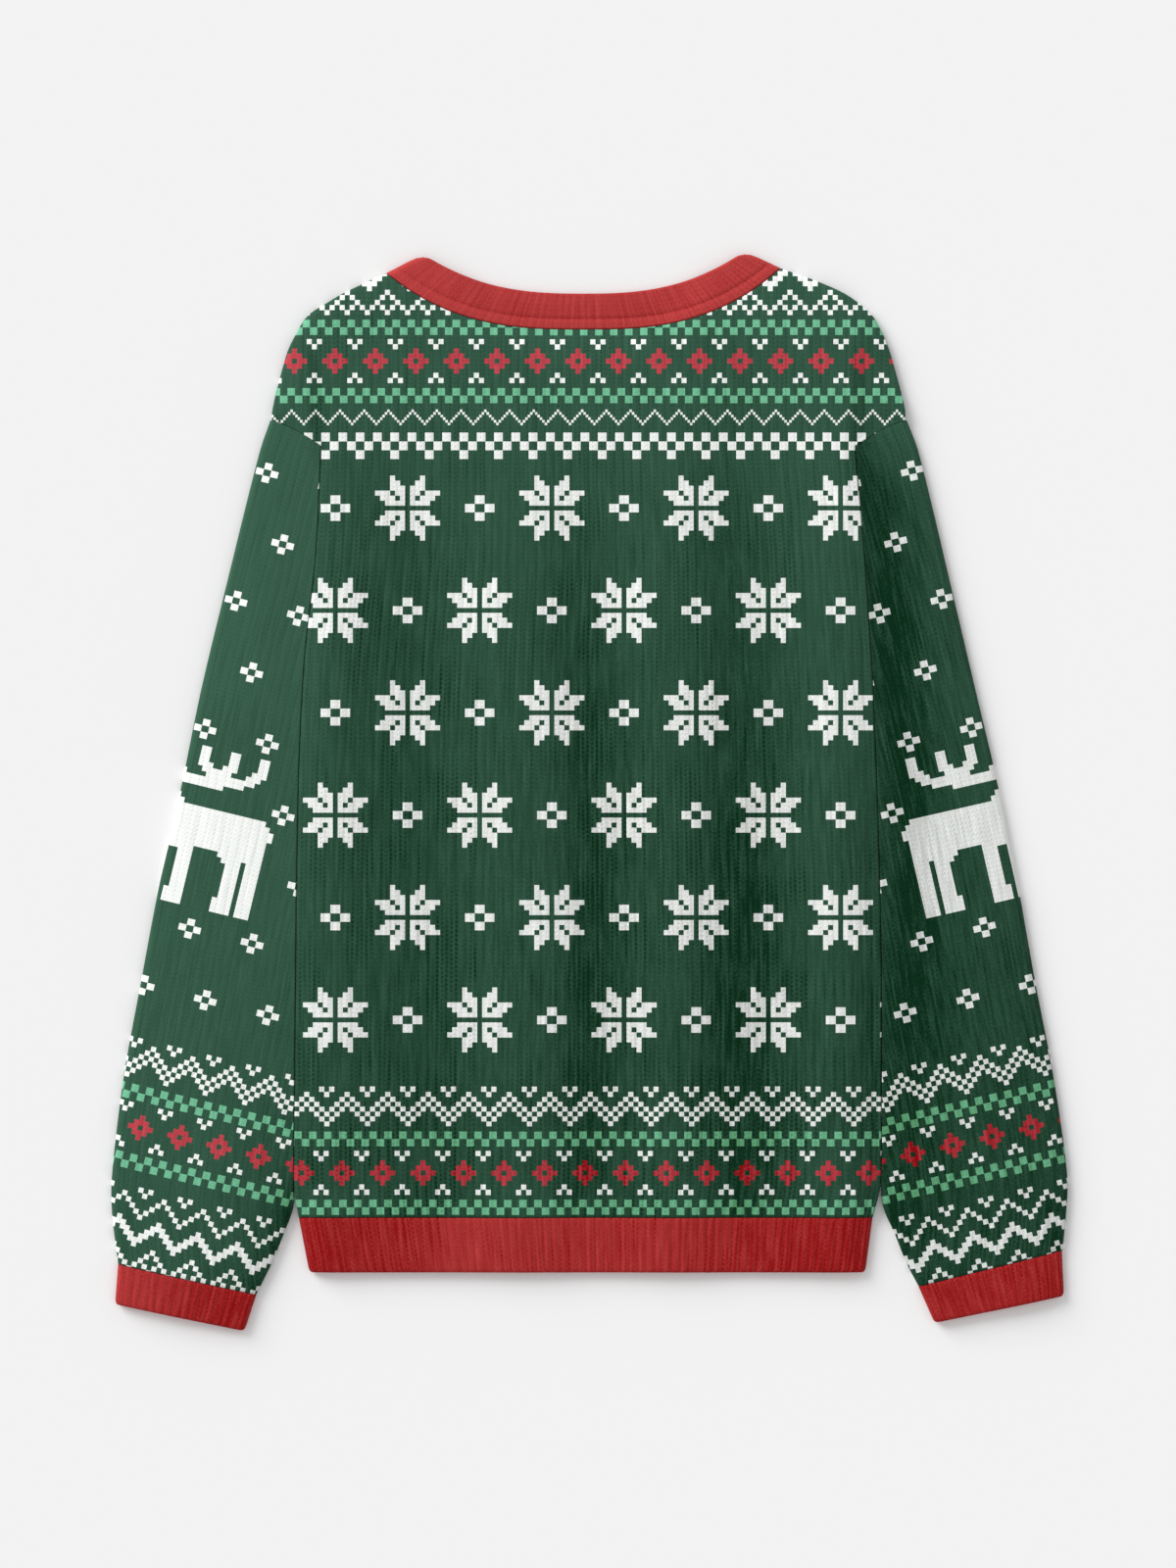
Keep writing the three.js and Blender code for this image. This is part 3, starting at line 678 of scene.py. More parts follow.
class FlatTube:
    def __init__(self, sections, ribs=None):
        self.cloth = Cloth()
        self.sections = sections
        self.ribs = ribs
        self.groove = RIB_GROOVE if ribs else SLEEVE_GROOVE
        tops = [self.face_row(section, RIB_COLUMNS, None) for section in sections]
        bottoms = [
            self.face_row(section, UNDER_RIB_COLUMNS, top) for section, top in zip(sections, tops)
        ]
        for rows in (tops, bottoms):
            for before, after in zip(rows[:-1], rows[1:]):
                self.cloth.bridge(before[0], after[0])
                self.cloth.bridge(before[1], after[1])
        inner_rows = sorted({0, len(sections) - 1, *range(0, len(sections), INNER_ROWS)})
        inner = [self.inner_row(sections[row]) for row in inner_rows]
        self.cloth.grid(np.array(inner))
        for row, ring in ((0, inner[0]), (-1, inner[-1])):
            self.cloth.stitch(list(ring), self.outline(tops[row], bottoms[row]))

    def shares(self, section, columns_a_rib):
        """Places across a section, from its outer end in: those counted from the outer end, then
        those next to the inner one. Also the count of ribs at each."""
        width = section.width
        step = RIB_PITCH / columns_a_rib
        if self.ribs:
            count = self.ribs * columns_a_rib
            regular = [0, EDGE_STEPS[1] / width, *(k / count for k in range(1, count))]
            inner = [1 - EDGE_STEPS[1] / width, 1.0]
            shares = np.array(regular + inner)
            return 1 - shares, shares * self.ribs, len(regular)
        count = int((width - EDGE_STEPS[-1] - EDGE_CLEARANCE) / step)
        regular = [0, EDGE_STEPS[1], *(step * k for k in range(1, count + 1))]
        inner = [width - e for e in reversed(EDGE_STEPS)]
        distances = np.array(regular + inner)
        return 1 - distances / width, distances / RIB_PITCH, len(regular)

    def face_row(self, section, columns_a_rib, top):
        """Adds a row of the upper face or, where top is that row, of the lower face under it."""
        share, ribs, regular = self.shares(section, columns_a_rib)
        x, y = section.place(share)
        edge = section.edge(share)
        chart_x, chart_y = section.chart(x, y)
        owners = None
        if top is None:
            crown = section.roof(share, edge) + WALL + RIB_CROWN - section.sink
            crown = crown - rib_hollow(ribs, self.groove)
            crown = crown - section.hollow(x, y) * smoothstep(edge, 0, HOLLOW_EDGE)
            z = lerp(WALL, crown, section.turned(share))
            tone = section.tone(x, y, share)
        else:
            outer_x, _ = section.chart(*section.place(1.0))
            chart_x = 2 * outer_x - chart_x
            ribs = -ribs
            z = lerp(WALL, rib_hollow(ribs, self.groove) + section.sink, rounded(edge, EDGE_RADIUS))
            tone = FACE_DOWN_SHADE
            owners = np.full(len(share), -1)
            owners[0], owners[-1] = top[0][0], top[1][-1]
        knit = (ribs, np.full(len(share), section.stitches))
        numbers = self.cloth.add(x, y, z, metres(chart_x, chart_y), knit, tone, owners)
        return list(numbers[:regular]), list(numbers[regular - 1:])

    def inner_row(self, section):
        count = max(4, round(self.sections[0].width / INNER_STEP))
        inset = WALL / section.width
        share = np.concatenate([
            np.linspace(inset, 1 - inset, count + 1),
            np.linspace(1 - inset, inset, count + 1)[1:-1],
        ])
        x, y = section.place(share)
        roof = section.roof(share, section.edge(share))
        at_ends = (share <= inset + 1e-6) | (share >= 1 - inset - 1e-6)
        z = np.where(np.arange(len(share)) <= count, roof, WALL)
        z = np.where(at_ends, WALL + SEAM_GAP / 2, z)
        knit = (share * section.width / RIB_PITCH, np.full(len(share), section.stitches))
        numbers = self.cloth.add(x, y, z, metres(*section.chart(x, y)), knit)
        return [*numbers, numbers[0]]

    def outline(self, top, bottom):
        """The outer ring of an end, in the order of the inner ring: across the top from the inner
        end to the outer one and back underneath."""
        over = [*top[0], *top[1][1:]][::-1]
        under = [*bottom[0], *bottom[1][1:]]
        return over + under[1:-1] + [over[0]]


def sleeve_roof(side, down, share, edge):
    fold = SLEEVE_FOLDS[side]
    swell = fold["height"] * np.exp(-(((share - fold["crest"]) / fold["width"]) ** 2))
    rise = smoothstep(edge, 0, SEAM_RISE) * (SLEEVE_PUFF + swell * smoothstep(down, 0, CREST_START))
    return WALL + SEAM_GAP + rise


# The pattern of a sleeve runs square to its own axis: its tilt, and its place on the chart
SLEEVE_CHARTS = {
    "left": {"tilt": 13.6, "mirror": 1, "shift": (0, 0)},
    "right": {"tilt": 12.95, "mirror": -1, "shift": (-1.5, 4.5)},
}


def sleeve_chart(side):
    """Turns a place into (along the pattern's bands towards the body, down the sleeve)."""
    chart = SLEEVE_CHARTS[side]
    tilt = math.radians(chart["tilt"])
    mirror, (shift_across, shift_down) = chart["mirror"], chart["shift"]

    def turn(x, y):
        across = mirror * x * math.cos(tilt) - y * math.sin(tilt) + shift_across
        down = -mirror * x * math.sin(tilt) - y * math.cos(tilt) + shift_down
        return across, down

    return turn


def add_sleeve(side, material):
    column, outward = SIDES[side]["column"], SIDES[side]["outward"]
    (seam_outer, seam_inner) = CUFFS[side]["seam"]
    end_slant = seam_outer[1] - seam_inner[1]
    hollows = SLEEVE_HOLLOWS[side] + ARMHOLE_HOLLOWS
    sections = []

    # Painted shade of the sleeve, by height and in its hollows
    def tone(x, y, share):
        return table(SLEEVE_SHADES[side], y) + hollows_at(x, y, hollows)

    def hollow(x, y):
        return SLEEVE_HOLLOW_DEPTH * hollows_at(x, y, hollows)

    length = CORNER_Y - JOIN_GAP - seam_inner[1]
    for travelled in edge_rows(0, length):
        down = travelled / length
        inner_y = CORNER_Y - JOIN_GAP - travelled
        if inner_y > SLEEVE_INNER[-1][0]:
            inner_x = along(BODY_SIDES, inner_y, column) + outward * JOIN_GAP
        else:
            inner_x = along(SLEEVE_INNER, inner_y, column)
        outer_y = inner_y + lerp(ARMHOLE_SLANT, end_slant, down)
        outer_x = along(SLEEVE_OUTER, outer_y, column)
        armhole = ARMHOLE_DIP * (1 - rounded(travelled, SEAM_SOFTNESS))
        wrist = SEAM_DIP * (1 - rounded(length - travelled, SEAM_SOFTNESS))
        sections.append(Section(
            (inner_x, inner_y), (outer_x, outer_y),
            lambda share, edge, down=down: sleeve_roof(side, down, share, edge),
            stitches=travelled / STITCH_HEIGHT,
            tone=tone,
            sink=max(armhole, wrist),
            bow=ARMHOLE_BOW * (1 - smoothstep(travelled, 0, ARMHOLE_BOW_FADE)),
            chart=sleeve_chart(side),
            inner_radius=lerp(JOIN_RADIUS, EDGE_RADIUS, smoothstep(inner_y, *SLEEVE_PARTS_AT)),
            hollow=hollow,
        ))
    return FlatTube(sections).cloth.build(f"knit_sleeve_{side}", material)


def end_sink(travelled, length):
    """How far a band sinks next to its seam, and rounds off at its open edge."""
    seam = SEAM_DIP * (1 - rounded(travelled, SEAM_SOFTNESS))
    free = OPEN_EDGE_DROP * WALL * (1 - rounded(length - travelled, OPEN_EDGE_ROUND))
    return max(seam, free)


def add_cuff(side, material):
    (seam_outer, seam_inner), (end_outer, end_inner) = CUFFS[side]["seam"], CUFFS[side]["end"]
    length = math.dist(seam_outer, end_outer)
    sections = []
    for travelled in edge_rows(0, length):
        share = travelled / length
        drop = (1 - share) * SEAM_GAP
        start = lerp(np.array(seam_inner), np.array(end_inner), share) - (0, drop)
        end = lerp(np.array(seam_outer), np.array(end_outer), share) - (0, drop)
        corner = CORNER * (1 - rounded(length - travelled, 2 * CORNER)) / math.dist(start, end)
        sections.append(Section(
            lerp(start, end, corner), lerp(end, start, corner),
            lambda across, edge, share=share: sleeve_roof(side, 1 - share / 2, across, edge),
            stitches=travelled / STITCH_HEIGHT,
            # painted shade across the cuff
            tone=lambda x, y, across: table(CUFF_SHADES[side], across),
            sink=end_sink(travelled, length),
        ))
    ribs = round(math.dist(seam_outer, seam_inner) / RIB_PITCH)
    return FlatTube(sections, ribs).cloth.build(f"rib_cuff_{side}", material)


def add_hem(material):
    length = HEM_Y - SEAM_GAP - HEM_END_Y
    sections = []
    for travelled in edge_rows(0, length):
        share = travelled / length
        y = HEM_Y - SEAM_GAP - travelled
        cut = CORNER * (1 - rounded(length - travelled, 2 * CORNER))

        def roof(across, edge, y=y, share=share):
            x = lerp(HEM_LEFT, HEM_RIGHT, across)
            lift = BODY_PUFF + folds_at(x, y)
            lift = lift - HOLLOW_DEPTH * hollows_at(x, HEM_Y, BODY_HOLLOWS)
            lift = lift * lerp(1, HEM_FLATTENING, share)
            return WALL + SEAM_GAP + smoothstep(edge, 0, SEAM_RISE) * lift

        sections.append(Section(
            (lerp(HEM_LEFT, HEM_END_LEFT, share) + cut, y),
            (lerp(HEM_RIGHT, HEM_END_RIGHT, share) - cut, y),
            roof,
            stitches=travelled / STITCH_HEIGHT,
            # painted shade across the hem
            tone=lambda x, y, across: table(HEM_SHADE_ACROSS, x) + HEM_SHADE,
            sink=end_sink(travelled, length),
        ))
    ribs = round((HEM_RIGHT - HEM_LEFT) / RIB_PITCH)
    return FlatTube(sections, ribs).cloth.build("rib_hem", material)


# Neckband: a ring whose back half lies on top and whose front half lies under it

BAND_SETTLES = (20, 60)
BAND_STITCH_AT = 7.2  # distance of the sewn line from the neck seam
BAND_STITCH_WIDTH = 0.8
BAND_STITCH_DEPTH = 0.5
BAND_STITCH_ROWS = (5.6, 6.6, 7.0, 7.4, 7.8, 8.2, 9.2)  # more rows of points around it
BAND_SEAM_SOFTNESS = 2.0
BAND_RIB_SHARE = 0.5  # its ribs are this much softer
BAND_RIB_FADE = (25, 110)  # distances from a shoulder fold between which the ribs grow
BAND_SHADE_FADE = (10, 90)  # and those between which the painted shade deepens
# share of that painted shade at the shoulder folds
BAND_SHADE_AT_FOLD = 0.5
BAND_LIFT = 0.8  # its free edge stands above the solid's, most of all at the peaks
PEAK_LIFT = 1.9
PEAK_ROUND = 2.0
PEAK_REACH = 4.0
FREE_POWER = 2.65
BAND_INNER_ROWS = (0, 0.33, 0.66, 1)
BAND_INNER_STITCHES = 8


def add_neckband(material):
    cloth = Cloth()
    (left_x, _), (right_x, _) = NECK_CORNERS
    middle, half = (left_x + right_x) / 2, (right_x - left_x) / 2
    width = 2 * half
    ribs = round(width / RIB_PITCH)
    height = BACK_NECK["free_y"] - BACK_NECK["seam_y"]
    fold_level = WALL + SEAM_GAP / 2
    extra = [0.0, EDGE_STEPS[1] / width]
    peaks = [(x, y + PEAK_LIFT) for x, y in NECK_PEAKS]
    shoulder = math.dist(NECK_CORNERS[0], NECK_PEAKS[0])

    def place(neck, share, rise):
        seam_x = lerp(middle - half + SEAM_GAP, middle + half - SEAM_GAP, share)
        free_x = lerp(NECK_PEAKS[0][0], NECK_PEAKS[1][0], share)
        seam_y = neck_curve(NECK_CORNERS, neck["seam_y"], neck["power"], seam_x, SEAM_GAP) + SEAM_GAP
        power = FREE_POWER if neck is BACK_NECK else neck["power"]
        free_y = neck_curve(peaks, neck["free_y"] + BAND_LIFT, power, free_x)
        from_peak = np.hypot(np.minimum(share, 1 - share) * width, (1 - rise) * shoulder)
        blunt = PEAK_ROUND * np.exp(-((from_peak / PEAK_REACH) ** 2))
        return lerp(seam_x, free_x, rise), lerp(seam_y, free_y, rise) - blunt

    def shares_for(count):
        inside = np.arange(1, count) / count
        return np.array([*extra, *inside, 1 - extra[1], 1.0])

    def under(x, y, share):
        sag = BACK_LEVEL + BODY_PUFF - back_level(x, y, SEAM_RISE)
        return BACK_LEVEL - sag * smoothstep(np.minimum(share, 1 - share) * width, *BAND_SETTLES)

    def dip(travelled):
        seam = SEAM_DIP * (1 - rounded(travelled, BAND_SEAM_SOFTNESS))
        sewn = BAND_STITCH_DEPTH * math.exp(-(((travelled - BAND_STITCH_AT) / BAND_STITCH_WIDTH) ** 2))
        free = OPEN_EDGE_DROP * WALL * (1 - rounded(height - travelled, OPEN_EDGE_ROUND))
        return max(seam, free) + sewn

    rows = sorted({*np.round(edge_rows(0, height), 3), *BAND_STITCH_ROWS})
    rings = []
    for travelled in rows:
        rise = travelled / height
        stitches = travelled / STITCH_HEIGHT
        share = shares_for(ribs * RIB_COLUMNS)
        x, y = place(BACK_NECK, share, rise)
        edge = np.minimum(share, 1 - share) * width
        softness = BAND_RIB_SHARE * smoothstep(edge, *BAND_RIB_FADE)
        level = under(x, y, share) + WALL - dip(travelled) + RIB_CROWN
        level = level - softness * rib_hollow(share * ribs, RIB_GROOVE)
        z = lerp(fold_level, level, rounded(edge, EDGE_RADIUS))
        # Painted shade on the band, less of it near the shoulder folds
        deepening = lerp(BAND_SHADE_AT_FOLD, 1, smoothstep(edge, *BAND_SHADE_FADE))
        tone = table(NECKBAND_SHADE, travelled) * deepening
        top = cloth.add(x, y, z, metres(x, y), (share * ribs, stitches), tone)

        share = shares_for(ribs * UNDER_RIB_COLUMNS)[::-1]
        x, y = place(FRONT_NECK, share, rise)
        edge = np.minimum(share, 1 - share) * width
        level = rib_hollow(share * ribs, RIB_GROOVE) + dip(travelled)
        z = lerp(fold_level, level, rounded(edge, EDGE_RADIUS))
        owners = np.full(len(share), -1)
        owners[0], owners[-1] = top[-1], top[0]
        knit = (share * ribs, stitches)
        bottom = cloth.add(x, y, z, metres(x, y), knit, FACE_DOWN_SHADE, owners)
        rings.append((top, bottom))
    cloth.grid(np.array([top for top, _ in rings]))
    cloth.grid(np.array([bottom for _, bottom in rings]))

    inset = WALL / width
    count = round(width / INNER_STEP) * 2
    inner_rings = []
    for rise in BAND_INNER_ROWS:
        share = np.linspace(inset, 1 - inset, count + 1)
        x, y = place(BACK_NECK, share, rise)
        at_fold = (share <= inset) | (share >= 1 - inset)
        z = np.where(at_fold, fold_level, under(x, y, share))
        stitches = rise * BAND_INNER_STITCHES
        over = cloth.add(x, y, z, metres(x, y), (share * ribs, stitches))
        back = share[::-1][1:-1]
        x, y = place(FRONT_NECK, back, rise)
        beneath = cloth.add(x, y, WALL, metres(x, y), (back * ribs, stitches))
        inner_rings.append([*over, *beneath, over[0]])
    cloth.grid(np.array(inner_rings))
    for ring, (top, bottom) in ((inner_rings[0], rings[0]), (inner_rings[-1], rings[-1])):
        cloth.stitch(ring, [*top, *bottom[1:-1], top[0]])
    return cloth.build("rib_neckband", material)


# Pattern charts, from the top row down

THICK_ZIGZAG = ["....X...", "...XXX..", "..XX.XX.", ".XX...XX", "XX.....X", "X......."]
LATTICE_ZIGZAG = ["....X...", "...X.X..", "..X...X.", ".X.X.X.X", "X...X..."]
DEEP_LATTICE = ["....X...", "...X.X..", "..X.X.X.", ".X.X.X.X", "X.X...X.", ".X.....X", "X......."]
SMALL_ZIGZAG = ["....X...", "...X.X..", "..X...X.", ".X.....X", "X......."]
THIN_ZIGZAG = [".....X....", "....X.X...", "...X...X..", "..X.....X.", ".X.......X", "X........."]
TRIO_DOWN = ["X.X.....", ".X......"]
TRIO_UP = [".X......", "X.X....."]
DIAMOND = ["..X.....", ".XXX....", "XX.XX...", ".XXX....", "..X....."]
CHECKER = ["X.", ".X"]
BROKEN_CHECKER = ["X.X.", ".X.X", "X..."]
CROSS = [".X.", "X.X", ".X."]
STAR_QUARTER = ["...X..", "...XX.", "...XXX", "XXX.XX", ".XXX.X", "..XXXX"]
STAR_HALF = 6.5  # squares from a star's centre to its tips
CROSS_HALF = 1.5
# A plain reindeer, from its antlers down to its back, and then its legs
REINDEER = [
    "....XX....XX....XX....XX....XX....",
    "....XX....XX....XX....XX....XX....",
    "....XX....XX....XX....XX....XX....",
    "....XXX..XXX....XXX..XXX...XXX....",
    ".....XXXXXX......XXXXXX...XXX.....",
    "......XXXXXXXX....XXXXXXXXXX......",
    "........XXXXXXXXXXXXXXXXXX........",
    "..........XXXXXXXXXXXX............",
    "..........XXX.....................",
    "......XXXXXXX.....................",
    "....XXXXXXXXXX....................",
    "..XXXXXXXXXXXXX...................",
    ".XXXXXXXXXXXXXXXXXXXXXXXXXXXXXXX..",
    ".XXXX.XXXXXXXXXXXXXXXXXXXXXXXXXXX.",
    "......XXXXXXXXXXXXXXXXXXXXXXXXXXXX",
    ".......XXXXXXXXXXXXXXXXXXXXXXXXXXX",
    "........XXXXXXXXXXXXXXXXXXXXXXXXX.",
    ".........XXXXXXXXXXXXXXXXXXXXXXXX.",
    "..........XXXXXXXXXXXXXXXXXXXXXXX.",
    "..........XXXXXXXXXXXXXXXXXXXXXXX.",
    "...........XXXXXXXX.....XXXXXXXXX.",
    "...........XXX..XXX......XXXX.XXX.",
    *["...........XXX..XXX.......XXX.XXX."] * 7,
    *["..........XXXX.XXXX......XXXX.XXX."] * 3,
]

CELL = 3.49  # one square of most bands
CHECK = 5.17  # one square of the light green bands

# Bands of the body: chart, colour, top edge, left edge of a repeat, and a square's width and height
BODY_BANDS = [
    (THICK_ZIGZAG, "white", 366.4, 12.27, 3.453, 3.48),
    (LATTICE_ZIGZAG, "white", 346.4, 11.55, 3.468, 3.48),
    (CHECKER, "mint", 325.8, 8.9, CHECK, 5.25),
    (TRIO_DOWN, "white", 312.5, 0.5, CELL, 3.55),
    (DIAMOND, "red", 306.0, 11.2, CELL, 3.48),
    (TRIO_UP, "white", 289.2, 0.5, CELL, 3.55),
    (CHECKER, "mint", 278.7, 8.9, CHECK, 5.2),
    (THIN_ZIGZAG, "white", 263.9, 2.4, 1.669, 1.8),
    (BROKEN_CHECKER, "white", 248.0, 5.7, 5.96, 6.08),
    (TRIO_DOWN, "white", -202.7, 9.1, CELL, 3.58),
    (DEEP_LATTICE, "white", -206.4, 12.7, CELL, 3.37),
    (CHECKER, "mint", -233.7, 3.2, CHECK, 5.1),
    (TRIO_DOWN, "white", -247.0, 5.2, CELL, 3.55),
    (DIAMOND, "red", -253.6, 16.1, CELL, 3.46),
    (TRIO_UP, "white", -270.1, 5.2, CELL, 3.62),
    (CHECKER, "mint", -280.7, 3.2, CHECK, 5.2),
]
STAR_FIELD = {
    "left": -175.2, "top": 195.95, "across": 49.73, "down": 70.54, "rows": 6,
    "cell": 3.446, "cross": (6.76, 5.86),
}

# Bands of a sleeve in its own chart, by the distance down the sleeve
SLEEVE_BANDS = [
    (TRIO_DOWN, "white", 237.5, 9.7, CELL, 3.5),
    (DEEP_LATTICE, "white", 241.1, 13.0, CELL, 3.46),
    (CHECKER, "mint", 269.1, 9.7, CHECK, 5.3),
    (TRIO_DOWN, "white", 281.5, 13.8, CELL, 3.5),
    (DIAMOND, "red", 288.9, 23.9, CELL, 3.46),
    (TRIO_UP, "white", 305.9, 13.8, CELL, 3.5),
    (CHECKER, "mint", 316.1, 9.7, CHECK, 5.3),
    (TRIO_DOWN, "white", 337.4, 13.5, CELL, 3.5),
    (SMALL_ZIGZAG, "white", 341.7, 17.0, CELL, 3.5),
    (THICK_ZIGZAG, "white", 358.1, 17.2, CELL, 3.3),
    (LATTICE_ZIGZAG, "white", 377.7, 17.5, CELL, 3.48),
]
SLEEVE_CROSSES = {
    "left": -267.9, "top": -161.8, "across": 44.19, "down": 45.4, "rows": 9, "cross": (5.18, 4.5),
}
ANIMAL = {"left": -322.0, "top": 31.0, "cell": 3.446}
ANIMAL_CLEARING = {"left": -290, "right": -213, "top": 52, "bottom": 146}


# Materials


def operator(operation, swapped=False):
    """A method of a field that feeds the field and its operand to a math node."""
    def method(self, *operands):
        values = (*operands, self) if swapped else (self, *operands)
        return self.graph.math(operation, *values)

    return method


class Field:
    """A number at each point of a surface, as the output of a shader node."""

    __add__ = operator("ADD")
    __radd__ = operator("ADD", swapped=True)
    __sub__ = operator("SUBTRACT")
    __rsub__ = operator("SUBTRACT", swapped=True)
    __mul__ = operator("MULTIPLY")
    __rmul__ = operator("MULTIPLY", swapped=True)
    __truediv__ = operator("DIVIDE")
    __mod__ = operator("MODULO")
    __gt__ = operator("GREATER_THAN")
    __lt__ = operator("LESS_THAN")
    __abs__ = operator("ABSOLUTE")
    floor = operator("FLOOR")
    fraction = operator("FRACT")
    wave = operator("SINE")

    def __init__(self, graph, socket):
        self.graph = graph
        self.socket = socket

    def within(self, low, high):
        return (self > low) * (self < high)

    def ramp(self, low, high):
        """0 below low, 1 above high, and smooth between them."""
        node = self.graph.node("ShaderNodeMapRange", interpolation_type="SMOOTHSTEP")
        for name, value in (("Value", self), ("From Min", low), ("From Max", high)):
            self.graph.feed(node.inputs[name], value)
        return Field(self.graph, node.outputs["Result"])


class Graph:
    """The node tree of one material."""

    def __init__(self, name):
        self.material = bpy.data.materials.new(name)
        self.material.use_nodes = True
        self.tree = self.material.node_tree
        self.surface = self.tree.nodes["Principled BSDF"]

    def node(self, kind, **settings):
        node = self.tree.nodes.new(kind)
        for name, value in settings.items():
            setattr(node, name, value)
        return node

    def feed(self, socket, value):
        if isinstance(value, Field):
            self.tree.links.new(value.socket, socket)
        else:
            socket.default_value = value

    def math(self, operation, *values):
        node = self.node("ShaderNodeMath", operation=operation)
        for socket, value in zip(node.inputs, values):
            self.feed(socket, value)
        return Field(self, node.outputs[0])

    def uv(self, layer, scale=1.0):
        """The two coordinates of a UV map as fields."""
        source = self.node("ShaderNodeUVMap", uv_map=layer)
        split = self.node("ShaderNodeSeparateXYZ")
        self.tree.links.new(source.outputs["UV"], split.inputs["Vector"])
        x, y = Field(self, split.outputs["X"]), Field(self, split.outputs["Y"])
        return (x, y) if scale == 1.0 else (x * scale, y * scale)

    def noise(self, scale, detail=2.0, layer=None, stretch=(1, 1, 1)):
        """Soft noise from 0 to 1 over the object, or over a UV map."""
        if layer:
            source = self.node("ShaderNodeUVMap", uv_map=layer).outputs["UV"]
        else:
            source = self.node("ShaderNodeTexCoord").outputs["Object"]
        mapping = self.node("ShaderNodeMapping")
        mapping.inputs["Scale"].default_value = stretch
        self.tree.links.new(source, mapping.inputs["Vector"])
        node = self.node("ShaderNodeTexNoise")
        node.inputs["Scale"].default_value = scale
        node.inputs["Detail"].default_value = detail
        self.tree.links.new(mapping.outputs["Vector"], node.inputs["Vector"])
        return Field(self, node.outputs["Fac"])

    def mix(self, share, first, second):
        """A colour between two colours, each a tuple or a field."""
        node = self.node("ShaderNodeMix", data_type="RGBA")
        self.feed(node.inputs["Factor"], share)
        self.feed(node.inputs[6], first)
        self.feed(node.inputs[7], second)
        return Field(self, node.outputs[2])

    def scatter(self, number):
        """A different value from 0 to 1 for each whole number."""
        node = self.node("ShaderNodeTexWhiteNoise", noise_dimensions="1D")
        self.feed(node.inputs["W"], number)
        return Field(self, node.outputs["Value"])

    def attribute(self, name):
        return Field(self, self.node("ShaderNodeAttribute", attribute_name=name).outputs["Fac"])

    def row_masks(self, share, masks):
        """Steps through a list of (red, green) values as share goes from 0 to 1."""
        node = self.node("ShaderNodeValToRGB")
        ramp = node.color_ramp
        ramp.interpolation = "CONSTANT"
        ramp.elements.remove(ramp.elements[1])
        for row, (red, green) in enumerate(masks):
            stop = ramp.elements[0] if row == 0 else ramp.elements.new(row / len(masks))
            stop.position = row / len(masks)
            stop.color = (red, green, 0, 1)
        self.feed(node.inputs["Fac"], share)
        split = self.node("ShaderNodeSeparateColor")
        self.tree.links.new(node.outputs["Color"], split.inputs["Color"])
        return Field(self, split.outputs["Red"]), Field(self, split.outputs["Green"])


HALF_CHART = 20  # a chart wider than this is kept as two halves


def row_bits(cells_of_row):
    """A chart row as a number from 0 to 1 whose binary digits are its squares."""
    bits = sum(2 ** -(i + 1) for i, cell in enumerate(cells_of_row) if cell == "X")
    return bits + 0.5 ** (len(cells_of_row) + 1)


def charted(graph, across, down, chart, repeats=True):
    """1 where a chart has an X, with across and down counted in its squares."""
    rows, columns = len(chart), len(chart[0])
    inside = down.within(0, rows)
    if repeats:
        column = (across / columns).fraction() * columns
    else:
        column = across
        inside = inside * across.within(0, columns)
    masks = [(row_bits(row[:HALF_CHART]), row_bits(row[HALF_CHART:])) for row in chart]
    first, second = graph.row_masks(down / rows, masks)
    mask = first
    if columns > HALF_CHART:
        late = column > HALF_CHART
        mask = first + (second - first) * late
        column = column - late * HALF_CHART
    shifted = mask * graph.math("POWER", 2.0, column.floor() + 1)
    return (shifted.floor() % 2) * inside


def lattice(field, start, pitch):
    """Number of the nearest lattice line, and the signed distance from it."""
    number = ((field - start) / pitch + 0.5).floor()
    return number, field - start - number * pitch


def cross_at(graph, across, down, cell):
    width, height = cell
    return charted(graph, across / width + CROSS_HALF, down / height + CROSS_HALF, CROSS, repeats=False)


def band_shares(graph, bands, x, below):
    """White, mint and red shares of the bands, where below gives the distance below a height."""
    shares = {"white": 0.0, "mint": 0.0, "red": 0.0}
    for chart, colour, top, left, width, height in bands:
        band = charted(graph, (x - left) / width, below(top) / height, chart)
        shares[colour] = band + shares[colour]
    return shares


def body_motifs(graph, x, y):
    shares = band_shares(graph, BODY_BANDS, x, lambda top: top - y)
    field = STAR_FIELD
    column, from_column = lattice(x, field["left"], field["across"])
    row, from_row = lattice(field["top"] - y, 0, field["down"])
    shown = row.within(-0.5, field["rows"] - 0.5)
    is_star = abs((column + row) % 2) > 0.5
    quarter_x = STAR_HALF - abs(from_column) / field["cell"]
    quarter_y = STAR_HALF - abs(from_row) / field["cell"]
    star = charted(graph, quarter_x, quarter_y, STAR_QUARTER, repeats=False)
    cross = cross_at(graph, from_column, from_row, field["cross"])
    shares["white"] = shares["white"] + shown * (cross + (star - cross) * is_star)
    return shares


def sleeve_motifs(graph, x, y):
    shares = band_shares(graph, SLEEVE_BANDS, x, lambda top: y - top)
    field = SLEEVE_CROSSES
    row, from_row = lattice(y, field["top"], field["down"])
    odd = abs(row % 2)
    column, from_column = lattice(x - odd * (field["across"] / 2), field["left"], field["across"])
    shown = row.within(-0.5, field["rows"] - 0.5)
    clearing = ANIMAL_CLEARING
    cleared = x.within(clearing["left"], clearing["right"]) * y.within(clearing["top"], clearing["bottom"])
    cross = cross_at(graph, from_column, from_row, field["cross"]) * shown * (1 - cleared)
    across, down = (x - ANIMAL["left"]) / ANIMAL["cell"], (y - ANIMAL["top"]) / ANIMAL["cell"]
    reindeer = charted(graph, across, down, REINDEER, repeats=False)
    shares["white"] = shares["white"] + cross + reindeer
    return shares


